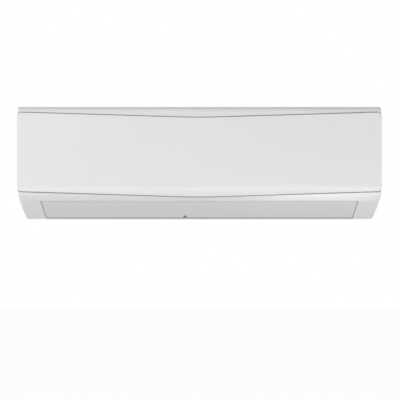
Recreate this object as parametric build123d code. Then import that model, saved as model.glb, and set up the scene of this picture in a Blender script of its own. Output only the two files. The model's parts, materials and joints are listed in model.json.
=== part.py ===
from build123d import *
from math import asin, atan2, cos, degrees, hypot, radians, sin, sqrt, tan
import os

# Wall-mounted indoor unit of a split air conditioner. X runs along the unit, to the right as
# seen from the room; the wall is the plane Y = 0 and the room lies towards -Y; Z is up.
# Sections across the unit are drawn in two coordinates: u, the distance from the wall, and
# z, the height above the underside. The origin is the centre of the wall plate on the wall.

# ---- Driving dimensions (mm) ----
WIDTH = 819.0
HEIGHT = 256.0
DEPTH = 185.0
DATUM_DROP = 106.0        # the wall plate's centre below the top
WALL = 2.5                # casing shell
SHEET = 1.2               # steel sheet
SEAT = 0.3                # gap between pieces that rest on each other
PIN_PLAY = 0.05           # radial clearance of a pin in its hole

# Casing outline
CASING_BACK = 3.0         # rear edge of the casing, off the wall
TOP_ROUND = 13.0
PANEL_THICKNESS = 3.5
PANEL_GAP = 0.5
CHIN_RADIUS = 36.0
CHIN_TOP = 79.5
CHIN_SWEEP = 52.0
CREASE_HEIGHT = 43.5      # edge between the chin and the sloping underside
MOUTH_REAR = (80.0, 3.5)  # rear edge of the sloping underside
MOUTH_BULGE = 1.9
KEEL_FROM_WALL = 60.0
REAR_TOE = 12.0
END_ROUND = 3.0
SEAM_WIDTH = 2.0          # groove in the casing round the panel's outline
SEAM_DEPTH = 1.2

# Front panel
PANEL_TOP_DROP = 26.0     # top edge below the casing's top, at the middle
PANEL_CORNER_DROP = 13.7  # the same at the ends
PANEL_END_CENTRE = 52.6
PANEL_END_CORNER = 65.4
PANEL_CORNER_RADIUS = 9.5
PANEL_CENTRE_RADIUS = 1500.0
PANEL_PIN_RADIUS = 3.0
PANEL_ARM_INSET = 23.5    # hinge arm's centre, in from the end of the casing
PANEL_ARM_WIDTH = 6.0
PANEL_ARM_THICKNESS = 5.0
PANEL_ARM_DROP = 34.0     # from the arm's eye down to its foot
PANEL_ARM_ELBOW = 3.0
PANEL_SLOT_LENGTH = 38.5
CATCH_INSET = 37.5
CATCH_HEIGHT = 100.0
CATCH_WIDTH = 8.0
CATCH_THICKNESS = 2.4
CATCH_REACH = 7.5

# Top grille
GRILLE_BAYS = 9
GRILLE_BAY_PITCH = 74.0
GRILLE_ROWS = 7
GRILLE_ROW_PITCH = 18.0
GRILLE_SLOT = 13.0
GRILLE_RIB = 6.0
GRILLE_FROM_WALL = 30.0

# Mouth and louver
MOUTH_SIDE = 48.0         # solid band beside the mouth, at each end
LIP_HEIGHT = 58.0
LIP_DEPTH = 12.0
LOUVER_GAP = 1.5
LOUVER_THICKNESS = 4.0
LOUVER_PIVOT = (86.0, 24.0)
LOUVER_PIN_RADIUS = 3.0
LOUVER_ARM_WIDTH = 3.0
LOUVER_EYE_RADIUS = 6.0
LOUVER_NOTCH_REACH = 6.2
CENTRE_BEARING_X = -34.0
CENTRE_BEARING_WIDTH = 5.0
CENTRE_BEARING_WALL = 2.2

# Cross-flow fan
FAN_HEIGHT = 108.0
FAN_GUIDE_GAP = 8.0       # from the wheel to the air guide behind it
FAN_COIL_GAP = 1.0        # from the wheel to the front fins
BLADE_DEPTH = 11.0
FAN_BLADES = 28
FAN_SECTIONS = 5
FAN_DISC = 2.0
FAN_LEFT_INSET = 64.5     # left end of the wheel, in from the end of the casing
FAN_RIGHT_INSET = 134.5
FAN_LEAN = 16.0           # degrees that each blade leans forward
FAN_SHAFT_RADIUS = 4.0
FAN_HUB_RADIUS = 12.0
FAN_HUB_LENGTH = 14.0

# Rear air guide: an arc, then a straight run to the mouth
GUIDE_FROM_WALL = 35.0
GUIDE_AHEAD = 13.0        # the arc's centre ahead of the fan's axis and below it
GUIDE_BELOW = 2.7
GUIDE_WALL = 2.2
GUIDE_TOP = 149.0
GUIDE_TURN = 200.0        # angle at which the arc becomes straight
GUIDE_FOOT = 5.0
LIP_REACH = 11.5          # lower lip, forward of the guide's foot
LIP_RISE = 2.4

# Chassis
BACK_FROM_WALL = 9.0
BACK_WALL = 2.4
CHANNEL_ROOF = 66.0
TROUGH_LIP = 160.0

# Tongue of the fan duct and the drain pan
TONGUE_INSET = 52.4       # the tongue's tip and foot, in from the casing's front
TONGUE_FOOT_INSET = 30.5
TONGUE_HEIGHT = 80.5
TONGUE_FOOT_HEIGHT = 47.8
TONGUE_TIP = 4.0
PAN_FLOOR = 73.0
PAN_RIM = 88.0
PAN_WALL = 2.4
SPIGOT_RADIUS = 8.0
SPIGOT_BORE = 6.2
SPIGOT_LENGTH = 20.0
SPIGOT_INSET = 21.0
SPIGOT_HEIGHT = 82.0
PAN_END_WALL = 4.0
PLUG_WALL = 2.0
PLUG_REACH = 12.0

# Duct ends
END_WALL = 2.4
DUCT_FLARE_START = 127.5  # right duct wall at the fan, in from the end of the casing
DUCT_FLARE_TOP = 70.0
DUCT_FLARE_FOOT = 50.0
BEARING_RADIUS = 16.0
BEARING_LENGTH = 8.0

# Upright vanes
VANES_IN_GROUP = 6
VANE_PITCH = 52.0
VANE_GROUP_STARTS = (-322.0, -2.0)
VANE_DOWN_TONGUE = 20.0
VANE_UPSTREAM = 13.0
VANE_DOWNSTREAM = 15.0
VANE_REACH = 40.0
VANE_THICKNESS = 1.8
VANE_PIN_RADIUS = 2.5
VANE_PIN_LENGTH = 4.5
ROD_OFFSET = -8.0
ROD_PIN_RADIUS = 1.5
ROD_PIN_PLAY = 0.1
ROD_WIDTH = 6.0
ROD_THICKNESS = 3.0

# Filters
FILTER_RADIUS = 129.0
FILTER_THICKNESS = 2.5
FILTER_FRONT_GAP = 3.5    # to the inside of the casing's front
FILTER_TOP_GAP = 6.5      # to the inside of the casing's top
FILTER_FOOT_HEIGHT = 100.0
FILTER_HIGH = 90.0        # degrees round the arc
FILTER_INNER = 8.0        # inner end from the middle of the unit
FILTER_LENGTH = 326.0
FILTER_BAR = 5.0
FILTER_GRIP = 60.0
FILTER_GRIP_RISE = 3.0
FILTER_BAYS = 3
FILTER_CELLS = 4
FILTER_MESH = 0.6

# Evaporator
FIN_DEPTH = 24.0
FIN_LEFT_INSET = 73.5
FIN_RIGHT_INSET = 93.5
FIN_FOOT_HEIGHT = 84.0
FIN_FRONT_INSET = 47.0    # rear face of the front fins, in from the casing's front
FIN_ELBOW_GAP = 4.2       # between the front and the top fins
FIN_FILTER_GAP = 11.1     # from the filter's round to the middle of the top fins
FIN_FILTER_ANGLE = 42.8
APEX_GAP = 2.0
FIN_SLOPE = 46.5
FIN_TOP_LENGTH = 70.0
FIN_HEEL_FROM_WALL = 43.6
FIN_HEEL_RISE = 10.1      # above the rear trough's floor
PIPE_RISE = 17.4          # pipes' upper ends above the rear fins' lower end
END_PLATE = 1.5
BEND_RADIUS = 10.0
BEND_TUBE_RADIUS = 3.5

# Pipes
LIQUID_RADIUS = 3.175
GAS_RADIUS = 4.76
PIPE_DROP_INSET = 78.0    # pipes' drop, in from the right end of the casing
GAS_FROM_WALL = 38.0
LIQUID_FROM_WALL = 29.0
GAS_RUN_HEIGHT = 41.0
LIQUID_RUN_HEIGHT = 18.0
PIPE_END_X = 90.0
PIPE_BEND = 14.0
NUT_LENGTH = 18.0
GAS_NUT_FLATS = 22.0
LIQUID_NUT_FLATS = 17.0
GAS_THREAD_RADIUS = 7.3
LIQUID_THREAD_RADIUS = 5.1
THREAD_DEPTH = 12.0
CLAMP_X = 215.0
CLAMP_WIDTH = 14.0

# Fan motor
MOTOR_RADIUS = 34.0
MOTOR_LENGTH = 44.0
MOTOR_GAP = 4.0
CRADLE_WEB = 3.0
CRADLE_SPACING = 16.0
STRAP = 2.5
CLAMP_EAR = 8.0

# Electrical box and boards
BOX_LENGTH = 64.0
BOX_END_GAP = 4.5
BOX_DEPTH = 128.0
BOX_LOW = 92.0
BOX_TOP_GAP = 21.5
BOX_WALL = 2.2
BOARD = 1.6
BOARD_SETBACK = 22.0
TRANSFORMER = 36.0
TRANSFORMER_DEPTH = 30.0
RELAY = 16.0
CAPACITOR_RADIUS = 8.0
CAPACITOR_LENGTH = 24.0
CONNECTOR = 20.0

# Louver motor
STEPPER_RADIUS = 14.0
STEPPER_LENGTH = 19.0
STEPPER_OFFSET = (-4.0, 8.0)

# Front openings of the casing, behind the panel
WINDOW_LOW = 93.0
WINDOW_DROP = 44.0
WINDOW_END_INSET = 75.0
WINDOW_POST = 24.0
BOX_WINDOW_INSET = 79.5
HATCH_INSET = 37.0
HATCH_WIDTH = 50.0
HATCH_LOW = 138.0
HATCH_HIGH = 198.0
BUTTON_INSET = 28.0
BUTTON_HEIGHT = 110.0
BUTTON_RADIUS = 4.0
BUTTON_TRAVEL = 1.2
POST_LENGTH = 9.0
SWITCH_HEIGHT = 3.0

# Wall plate
PLATE_LENGTH = 560.0
PLATE_HEIGHT = 160.0
PLATE_RIB = 4.0
PLATE_RIB_HEIGHT = 16.0
PLATE_RIB_SPREAD = 70.0
WALL_HOLE_RADIUS = 2.6
WALL_HOLES_APART = 450.0
WALL_HOLES_RISE = 100.0
HOOK_SPREAD = 380.0
HOOK_WIDTH = 50.0
HOOK_REACH = 6.6
HOOK_RISE = 10.0

# Screws
SCREW_RADIUS = 1.8
SCREW_HEAD_RADIUS = 3.5
SCREW_HEAD = 1.6
SCREW_LENGTH = 7.5
SMALL_SCREW_RADIUS = 1.1
SMALL_SCREW_HEAD_RADIUS = 2.4
SMALL_SCREW_LENGTH = 5.0
FRAME_SCREW_SPREAD = 300.0
FRAME_SCREW_HEIGHT = 84.0

# ---- Derived places ----
END = WIDTH / 2
INSIDE_END = END - WALL
MOUTH_END = END - MOUTH_SIDE
LOUVER_END = MOUTH_END - LOUVER_GAP
FRONT = DEPTH - PANEL_THICKNESS - PANEL_GAP
INSIDE_FRONT = FRONT - WALL
INSIDE_TOP = HEIGHT - WALL
PANEL_PIVOT = (FRONT - TOP_ROUND, HEIGHT - TOP_ROUND)
CHIN_CENTRE = (FRONT - CHIN_RADIUS, CHIN_TOP)
CHIN_END = (
    CHIN_CENTRE[0] + CHIN_RADIUS * cos(radians(CHIN_SWEEP)),
    CHIN_CENTRE[1] - CHIN_RADIUS * sin(radians(CHIN_SWEEP)),
)
MOUTH_FRONT = CHIN_END[0] - (CHIN_END[1] - CREASE_HEIGHT) * tan(radians(CHIN_SWEEP))
DATUM_HEIGHT = HEIGHT - DATUM_DROP
PANEL_TOP_CENTRE = HEIGHT - PANEL_TOP_DROP
PANEL_TOP_CORNER = HEIGHT - PANEL_CORNER_DROP
FIN_FRONT_FROM_WALL = FRONT - FIN_FRONT_INSET
FAN_RADIUS = (FIN_FRONT_FROM_WALL - FAN_COIL_GAP - GUIDE_FROM_WALL - FAN_GUIDE_GAP) / 2
FAN_BORE = FAN_RADIUS - BLADE_DEPTH
FAN_FROM_WALL = GUIDE_FROM_WALL + FAN_GUIDE_GAP + FAN_RADIUS
FAN_AXIS = (FAN_FROM_WALL, FAN_HEIGHT)
GUIDE_CENTRE = (FAN_FROM_WALL + GUIDE_AHEAD, FAN_HEIGHT - GUIDE_BELOW)
GUIDE_RADIUS = GUIDE_CENTRE[0] - GUIDE_FROM_WALL
TONGUE = (FRONT - TONGUE_INSET, TONGUE_HEIGHT)
TONGUE_FOOT = (FRONT - TONGUE_FOOT_INSET, TONGUE_FOOT_HEIGHT)
SPIGOT_PLACE = (FRONT - SPIGOT_INSET, SPIGOT_HEIGHT)
WINDOW_HIGH = HEIGHT - WINDOW_DROP
BOX_HIGH = INSIDE_TOP - BOX_TOP_GAP
FAN_LEFT = -END + FAN_LEFT_INSET
FAN_RIGHT = END - FAN_RIGHT_INSET
DUCT_RIGHT = END - DUCT_FLARE_START
MOTOR_LEFT = DUCT_RIGHT + MOTOR_GAP
FILTER_FROM_WALL = INSIDE_FRONT - FILTER_FRONT_GAP - FILTER_RADIUS
FILTER_HEIGHT = INSIDE_TOP - FILTER_TOP_GAP - FILTER_RADIUS
FILTER_AXIS = (FILTER_FROM_WALL, FILTER_HEIGHT)
FILTER_LOW = degrees(asin((FILTER_FOOT_HEIGHT - FILTER_HEIGHT) / FILTER_RADIUS))
BACK_FACE = BACK_FROM_WALL + BACK_WALL
FIN_LEFT = -END + FIN_LEFT_INSET
FIN_RIGHT = END - FIN_RIGHT_INSET
PIPE_DROP = END - PIPE_DROP_INSET
BOX_RIGHT = INSIDE_END - BOX_END_GAP
BOX_LEFT = BOX_RIGHT - BOX_LENGTH
STEPPER_AXIS = (LOUVER_PIVOT[0] + STEPPER_OFFSET[0], LOUVER_PIVOT[1] + STEPPER_OFFSET[1])

# ---- Drawing helpers ----
def at(x, u, z):
    """World place of a point along the unit, off the wall and above the underside."""
    return (x, -u, z - DATUM_HEIGHT)


def side_plane(x):
    """Plane across the unit at x, with local axes u and z."""
    return Plane(origin=at(x, 0, 0), x_dir=(0, -1, 0), z_dir=(-1, 0, 0))


def front_plane():
    """The wall plane, with local axes x and z; what is drawn out of it comes into the room."""
    return Plane(origin=at(0, 0, 0), x_dir=(1, 0, 0), z_dir=(0, -1, 0))


def across(profile, x_from, x_to):
    """A section across the unit, drawn out from one station to the other."""
    return extrude(side_plane(x_to) * profile, amount=x_to - x_from)


def rod(x_from, x_to, place, radius):
    """A round bar along the unit."""
    return across(Pos(*place) * Circle(radius), x_from, x_to)


def block(x_from, x_to, u_from, u_to, z_from, z_to):
    """A plain bar between two corners."""
    size = (x_to - x_from, u_to - u_from, z_to - z_from)
    return Pos(*at((x_from + x_to) / 2, (u_from + u_to) / 2, (z_from + z_to) / 2)) * Box(*size)


def outward_bar(x, z, u_from, u_to, radius):
    """A round bar that points from the wall into the room."""
    bar = Cylinder(radius, u_to - u_from)
    return Pos(*at(x, (u_from + u_to) / 2, z)) * Rot(90, 0, 0) * bar


def outline(*points):
    """A face with straight sides."""
    return make_face(Polyline(*points, close=True))


def ribbon(points, thickness):
    """A bent strip: the points are one side of it, and it lies to the left of their run."""
    offsets = []
    for i, point in enumerate(points):
        before = points[max(i - 1, 0)]
        after = points[min(i + 1, len(points) - 1)]
        first = unit(before, point) if i else unit(point, after)
        second = unit(point, after) if i < len(points) - 1 else first
        bisector = (-(first[1] + second[1]), first[0] + second[0])
        scale = 2 * thickness / (bisector[0] ** 2 + bisector[1] ** 2)
        offsets.append((point[0] + bisector[0] * scale, point[1] + bisector[1] * scale))
    return outline(*points, *reversed(offsets))


def unit(start, end):
    """Direction from one point to another."""
    length = hypot(end[0] - start[0], end[1] - start[1])
    return ((end[0] - start[0]) / length, (end[1] - start[1]) / length)


def polar(centre, radius, angle):
    """A point on a circle, with the angle in degrees."""
    return (centre[0] + radius * cos(radians(angle)), centre[1] + radius * sin(radians(angle)))


def sector(centre, inner, outer, low, high):
    """Part of a ring between two angles."""
    middle = (low + high) / 2
    outer_arc = ThreePointArc(*[polar(centre, outer, angle) for angle in (low, middle, high)])
    inner_arc = ThreePointArc(*[polar(centre, inner, angle) for angle in (high, middle, low)])
    start = Line(inner_arc @ 1, outer_arc @ 0)
    finish = Line(outer_arc @ 1, inner_arc @ 0)
    return make_face([start, outer_arc, finish, inner_arc])


# ---- Casing outline ----
def mouth_arc():
    """The gently bulged line of the sloping underside, from the crease to its rear edge."""
    return SagittaArc((MOUTH_FRONT, CREASE_HEIGHT), MOUTH_REAR, MOUTH_BULGE)


def casing_profile():
    """Closed outline of the casing's end, seen along the unit."""
    top = Line((CASING_BACK, HEIGHT), (PANEL_PIVOT[0], HEIGHT))
    shoulder = ThreePointArc(top @ 1, polar(PANEL_PIVOT, TOP_ROUND, 45), (FRONT, PANEL_PIVOT[1]))
    front = Line(shoulder @ 1, (FRONT, CHIN_TOP))
    chin_middle = polar(CHIN_CENTRE, CHIN_RADIUS, -CHIN_SWEEP / 2)
    chin = ThreePointArc(front @ 1, chin_middle, CHIN_END)
    under = Line(CHIN_END, (MOUTH_FRONT, CREASE_HEIGHT))
    mouth = mouth_arc()
    keel = Line(mouth @ 1, (KEEL_FROM_WALL, 0))
    bottom = Line(keel @ 1, (REAR_TOE, 0))
    toe = Line(bottom @ 1, (CASING_BACK, REAR_TOE))
    back = Line(toe @ 1, top @ 0)
    return make_face([top, shoulder, front, chin, under, mouth, keel, bottom, toe, back])


def louver_band():
    """Section of the louver: a strip of the sloping underside, set in by its end gaps."""
    arc = mouth_arc()
    profile = casing_profile()
    strip = profile - offset(profile, -LOUVER_THICKNESS)
    front_end = MOUTH_FRONT - LOUVER_GAP
    rear_end = MOUTH_REAR[0] + LOUVER_GAP
    lean = atan2((arc @ 0).Y - (arc @ 1).Y, (arc @ 0).X - (arc @ 1).X)
    length = (front_end - rear_end) / cos(lean)
    middle_u = (front_end + rear_end) / 2
    middle_z = (arc @ 1).Y + (middle_u - (arc @ 1).X) * tan(lean)
    window = Pos(middle_u, middle_z) * Rot(0, 0, degrees(lean)) * Rectangle(length, 8 * LOUVER_THICKNESS)
    return strip & window


# ---- Front frame ----
def grille_slots():
    """Rows of long slots through the top of the casing."""
    length = GRILLE_BAY_PITCH - GRILLE_RIB
    middle = GRILLE_FROM_WALL + GRILLE_ROW_PITCH * (GRILLE_ROWS - 1) / 2
    spread = GridLocations(GRILLE_BAY_PITCH, GRILLE_ROW_PITCH, GRILLE_BAYS, GRILLE_ROWS)
    place = Pos(*at(0, middle, HEIGHT))
    return [place * spot * Box(length, GRILLE_SLOT, 4 * WALL) for spot in spread]


def filter_window(x_from, x_to):
    """Opening in the casing's front through which a filter is drawn."""
    return block(x_from, x_to, INSIDE_FRONT - WALL, FRONT + WALL, WINDOW_LOW, WINDOW_HIGH)


def filter_guide(x):
    """Web under the casing's shoulder whose round edge guides a filter."""
    inner = offset(casing_profile(), -WALL)
    corner = Pos(FRONT, HEIGHT) * Rectangle(FRONT, FILTER_RADIUS)
    web = (inner & corner) - Pos(*FILTER_AXIS) * Circle(FILTER_RADIUS + SEAT)
    return across(web, x - WALL / 2, x + WALL / 2)


def arm_slot(side):
    """Slot in the casing's front for one hinge arm of the panel."""
    centre = side * (END - PANEL_ARM_INSET)
    half = PANEL_ARM_WIDTH / 2 + 2 * SEAT
    high = PANEL_PIVOT[1] - PANEL_ARM_THICKNESS / 2
    low = high - PANEL_SLOT_LENGTH
    return block(centre - half, centre + half, INSIDE_FRONT - WALL, FRONT + WALL, low, high)


def catch_slot(side):
    """Slot for a catch of the panel."""
    centre = side * (END - CATCH_INSET)
    half = CATCH_WIDTH / 2 + 2 * SEAT
    low = CATCH_HEIGHT - CATCH_THICKNESS
    high = CATCH_HEIGHT + 1.2 * CATCH_THICKNESS
    return block(centre - half, centre + half, INSIDE_FRONT - WALL, FRONT + WALL, low, high)


def hinge_pin(side):
    """Pin on the casing's end wall that carries the panel."""
    tip = END - PANEL_ARM_INSET - PANEL_ARM_WIDTH / 2 - 1
    ends = sorted((side * tip, side * (END - WALL / 2)))
    return rod(*ends, PANEL_PIVOT, PANEL_PIN_RADIUS)


def frame_screw_places():
    """Stations of the screws that hold the frame to the drain pan."""
    return [-FRAME_SCREW_SPREAD, 0, FRAME_SCREW_SPREAD]


def hatch_right():
    """Right edge of the hatch over the terminals."""
    return END - HATCH_INSET + HATCH_WIDTH / 2


def board_posts():
    """Posts behind the casing's front that carry the receiver board."""
    x = END - BUTTON_INSET
    back = INSIDE_FRONT - POST_LENGTH
    places = [(x + 12, BUTTON_HEIGHT - 8), (x - 12, BUTTON_HEIGHT + 14)]
    return [outward_bar(*place, back, INSIDE_FRONT + 1, 2.2) for place in places]


def seam_groove():
    """Groove in the casing's skin that runs just outside the panel's outline."""
    outline_face = panel_outline()
    ring = offset(outline_face, SEAM_WIDTH) - outline_face
    profile = casing_profile()
    skin = offset(profile, PANEL_GAP) - offset(profile, -SEAM_DEPTH)
    front = Pos(FRONT, HEIGHT / 2) * Rectangle(2 * CHIN_RADIUS, HEIGHT)
    return extrude(front_plane() * ring, amount=DEPTH + 1) & across(skin & front, -END - 1, END + 1)


def front_frame():
    """The casing's outer shell: top grille, ends, front with its openings, chin."""
    profile = casing_profile()
    inner = offset(profile, -WALL)
    solid = across(profile, -END, END)
    ends = solid.faces().filter_by(Axis.X)
    shell = fillet(ends.edges(), END_ROUND) - across(inner, -INSIDE_END, INSIDE_END)
    shell -= seam_groove()
    shell -= block(-INSIDE_END, INSIDE_END, 0, CASING_BACK + 2 * WALL, WALL, INSIDE_TOP)
    shell -= block(-MOUTH_END, MOUTH_END, -WALL, MOUTH_FRONT, -WALL, LIP_HEIGHT)
    lip_low = LIP_HEIGHT - LIP_DEPTH
    shell += block(-MOUTH_END, MOUTH_END, MOUTH_FRONT, MOUTH_FRONT + WALL, lip_low, LIP_HEIGHT)
    shell -= grille_slots()
    stations = [FILTER_INNER / 2, FILTER_INNER + FILTER_LENGTH - FILTER_BAR / 2]
    shell += [filter_guide(side * x) for side in (-1, 1) for x in stations]
    shell -= filter_window(-END + WINDOW_END_INSET, -WINDOW_POST / 2)
    shell -= filter_window(WINDOW_POST / 2, END - BOX_WINDOW_INSET)
    left = hatch_right() - HATCH_WIDTH
    shell -= block(left, hatch_right(), INSIDE_FRONT - 1, FRONT + 1, HATCH_LOW, HATCH_HIGH)
    shell -= [arm_slot(side) for side in (-1, 1)] + [catch_slot(side) for side in (-1, 1)]
    shell += [hinge_pin(side) for side in (-1, 1)] + board_posts()
    button_hole = BUTTON_RADIUS + PIN_PLAY
    shell -= outward_bar(END - BUTTON_INSET, BUTTON_HEIGHT, INSIDE_FRONT - 1, FRONT + 1, button_hole)
    for x in frame_screw_places():
        shell -= outward_bar(x, FRAME_SCREW_HEIGHT, INSIDE_FRONT - 1, FRONT + 1, SCREW_RADIUS + PIN_PLAY)
        shell -= outward_bar(x, FRAME_SCREW_HEIGHT, FRONT - SCREW_HEAD, FRONT + 1, SCREW_HEAD_RADIUS + SEAT)
    return shell


# ---- Front panel ----
def panel_outline():
    """The panel seen from the room: two shallow Vs and rounded corners."""
    corners = [
        (-END, PANEL_END_CORNER),
        (0, PANEL_END_CENTRE),
        (END, PANEL_END_CORNER),
        (END, PANEL_TOP_CORNER),
        (0, PANEL_TOP_CENTRE),
        (-END, PANEL_TOP_CORNER),
    ]
    face = outline(*corners)
    middle = [vertex for vertex in face.vertices() if abs(vertex.X) < END / 2]
    face = fillet(middle, PANEL_CENTRE_RADIUS)
    ends = [vertex for vertex in face.vertices() if abs(vertex.X) > END - 1]
    return fillet(ends, PANEL_CORNER_RADIUS)


def panel_section():
    """The panel's section: upright, then curved back under itself to follow the chin."""
    outer = CHIN_RADIUS + PANEL_GAP + PANEL_THICKNESS
    inner = CHIN_RADIUS + PANEL_GAP
    curve = sector(CHIN_CENTRE, inner, outer, -CHIN_SWEEP, 0)
    upright_low = (FRONT + PANEL_GAP, CHIN_TOP)
    upright_high = (DEPTH, PANEL_TOP_CORNER + 1)
    upright = outline(
        upright_low, (upright_high[0], upright_low[1]), upright_high, (upright_low[0], upright_high[1])
    )
    return curve + upright


def panel_arm(side):
    """Gooseneck hinge arm: down from its eye, then out through the casing to the panel."""
    centre = side * (END - PANEL_ARM_INSET)
    eye_u, eye_z = PANEL_PIVOT
    half = PANEL_ARM_THICKNESS / 2
    spine = [
        (eye_u - half, eye_z),
        (eye_u - half, eye_z - PANEL_ARM_DROP + PANEL_ARM_ELBOW - half),
        (eye_u + 2 * PANEL_ARM_ELBOW, eye_z - PANEL_ARM_DROP - half),
        (FRONT + PANEL_GAP + 0.5, eye_z - PANEL_ARM_DROP - half),
    ]
    shape = ribbon(spine, PANEL_ARM_THICKNESS) + Pos(*PANEL_PIVOT) * Circle(PANEL_PIN_RADIUS + 2)
    shape -= Pos(*PANEL_PIVOT) * Circle(PANEL_PIN_RADIUS + PIN_PLAY)
    return across(shape, centre - PANEL_ARM_WIDTH / 2, centre + PANEL_ARM_WIDTH / 2)


def panel_catch(side):
    """Snap catch near the lower end of the panel."""
    centre = side * (END - CATCH_INSET)
    back = FRONT + PANEL_GAP
    half = CATCH_WIDTH / 2
    low = CATCH_HEIGHT - CATCH_THICKNESS / 2
    return block(centre - half, centre + half, back - CATCH_REACH, back + 0.5, low, low + CATCH_THICKNESS)


def front_panel():
    """The hinged front panel with its arms and catches."""
    sheet = across(panel_section(), -END, END)
    sheet &= extrude(front_plane() * panel_outline(), amount=DEPTH + 1)
    for side in (-1, 1):
        sheet += [panel_arm(side), panel_catch(side)]
    return sheet


# ---- Chassis ----
def guide_arc(radius):
    """The rear air guide's curved stretch, from its top edge down to where it runs straight."""
    top = 180 - degrees(asin((GUIDE_TOP - GUIDE_CENTRE[1]) / GUIDE_RADIUS))
    middle = (top + GUIDE_TURN) / 2
    return ThreePointArc(*[polar(GUIDE_CENTRE, radius, angle) for angle in (top, middle, GUIDE_TURN)])


def guide_foot(radius):
    """Lower end of the straight stretch, on the inner or outer side of the guide."""
    turn = polar(GUIDE_CENTRE, radius, GUIDE_TURN)
    heading = polar((0, 0), 1, GUIDE_TURN + 90)
    run = (turn[1] - GUIDE_FOOT) / -heading[1]
    return (turn[0] + heading[0] * run, GUIDE_FOOT)


def guide_section():
    """Section of the rear air guide."""
    outer_radius = GUIDE_RADIUS + GUIDE_WALL
    inner = guide_arc(GUIDE_RADIUS)
    outer = guide_arc(outer_radius)
    inner_run = Line(inner @ 1, guide_foot(GUIDE_RADIUS))
    outer_run = Line(outer @ 1, guide_foot(outer_radius))
    top = Line(outer @ 0, inner @ 0)
    foot = Line(inner_run @ 1, outer_run @ 1)
    return make_face([inner, inner_run, foot, outer_run, outer, top])


def guide_u(z):
    """Distance from the wall of the guide's air side, at a height on its curved stretch."""
    return GUIDE_CENTRE[0] - sqrt(GUIDE_RADIUS ** 2 - (z - GUIDE_CENTRE[1]) ** 2)


def guide_back_u(z):
    """Distance from the wall of the guide's rear side, on its straight run."""
    turn = polar(GUIDE_CENTRE, GUIDE_RADIUS + GUIDE_WALL, GUIDE_TURN)
    return turn[0] + (turn[1] - z) * tan(radians(GUIDE_TURN - 180))


def lower_lip():
    """Rounded lip that closes the underside behind the mouth."""
    foot = guide_foot(GUIDE_RADIUS)
    back = guide_foot(GUIDE_RADIUS + GUIDE_WALL)
    nose = (foot[0] + LIP_REACH, LIP_RISE)
    crest = (nose[0] - 1, nose[1] + 1.6)
    return outline(back, (back[0] - 2, 0), (foot[0] + LIP_REACH / 2, 0), nose, crest, foot)


def trough_section():
    """The rear trough, from the back wall to its front lip."""
    floor = GUIDE_TOP
    front = guide_u(GUIDE_TOP)
    points = [(BACK_FACE - 0.5, floor + 12), (BACK_FACE + 11, floor), (front - GUIDE_WALL, floor)]
    points += [(front - GUIDE_WALL, TROUGH_LIP)]
    return ribbon(points, PAN_WALL)


def motor_cradle(x):
    """Web behind the motor with a round seat cut into it."""
    low = CHANNEL_ROOF + 6
    web = block(x, x + CRADLE_WEB, BACK_FACE - 0.5, FAN_FROM_WALL, low, GUIDE_TOP)
    return web - rod(x - 1, x + CRADLE_WEB + 1, FAN_AXIS, MOTOR_RADIUS + SEAT)


def clamp_ear_height():
    """Height of the clamp's ears and their screws."""
    return FAN_HEIGHT + MOTOR_RADIUS + STRAP + CLAMP_EAR / 2 - 1


def cradle_stations():
    """Left faces of the two webs that hold the motor."""
    middle = MOTOR_LEFT + MOTOR_LENGTH / 2
    return [middle - CRADLE_SPACING / 2 - CRADLE_WEB, middle + CRADLE_SPACING / 2]


def hook_ledge(x):
    """Downturned ledge on the chassis's back that hangs on a hook of the wall plate."""
    top = DATUM_HEIGHT + PLATE_HEIGHT / 2 - 4 + HOOK_RISE + SEAT
    shelf = outline(
        (SHEET + SEAT, top - HOOK_RISE / 2),
        (SHEET + SEAT + 2, top - HOOK_RISE / 2),
        (SHEET + SEAT + 2, top),
        (BACK_FROM_WALL + 0.5, top),
        (BACK_FROM_WALL + 0.5, top + BACK_WALL),
        (SHEET + SEAT, top + BACK_WALL),
    )
    return across(shelf, x - HOOK_WIDTH / 2 + SEAT, x + HOOK_WIDTH / 2 - SEAT)


def motor_bay():
    """Space above the flared end of the duct, where the air guide stops."""
    right = MOUTH_END + MOUTH_SIDE
    corners = [(DUCT_RIGHT, HEIGHT), (DUCT_RIGHT, DUCT_FLARE_TOP), (MOUTH_END + SEAT, DUCT_FLARE_FOOT)]
    corners += [(right, DUCT_FLARE_FOOT), (right, HEIGHT)]
    return extrude(front_plane() * outline(*corners), amount=DEPTH)


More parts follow.
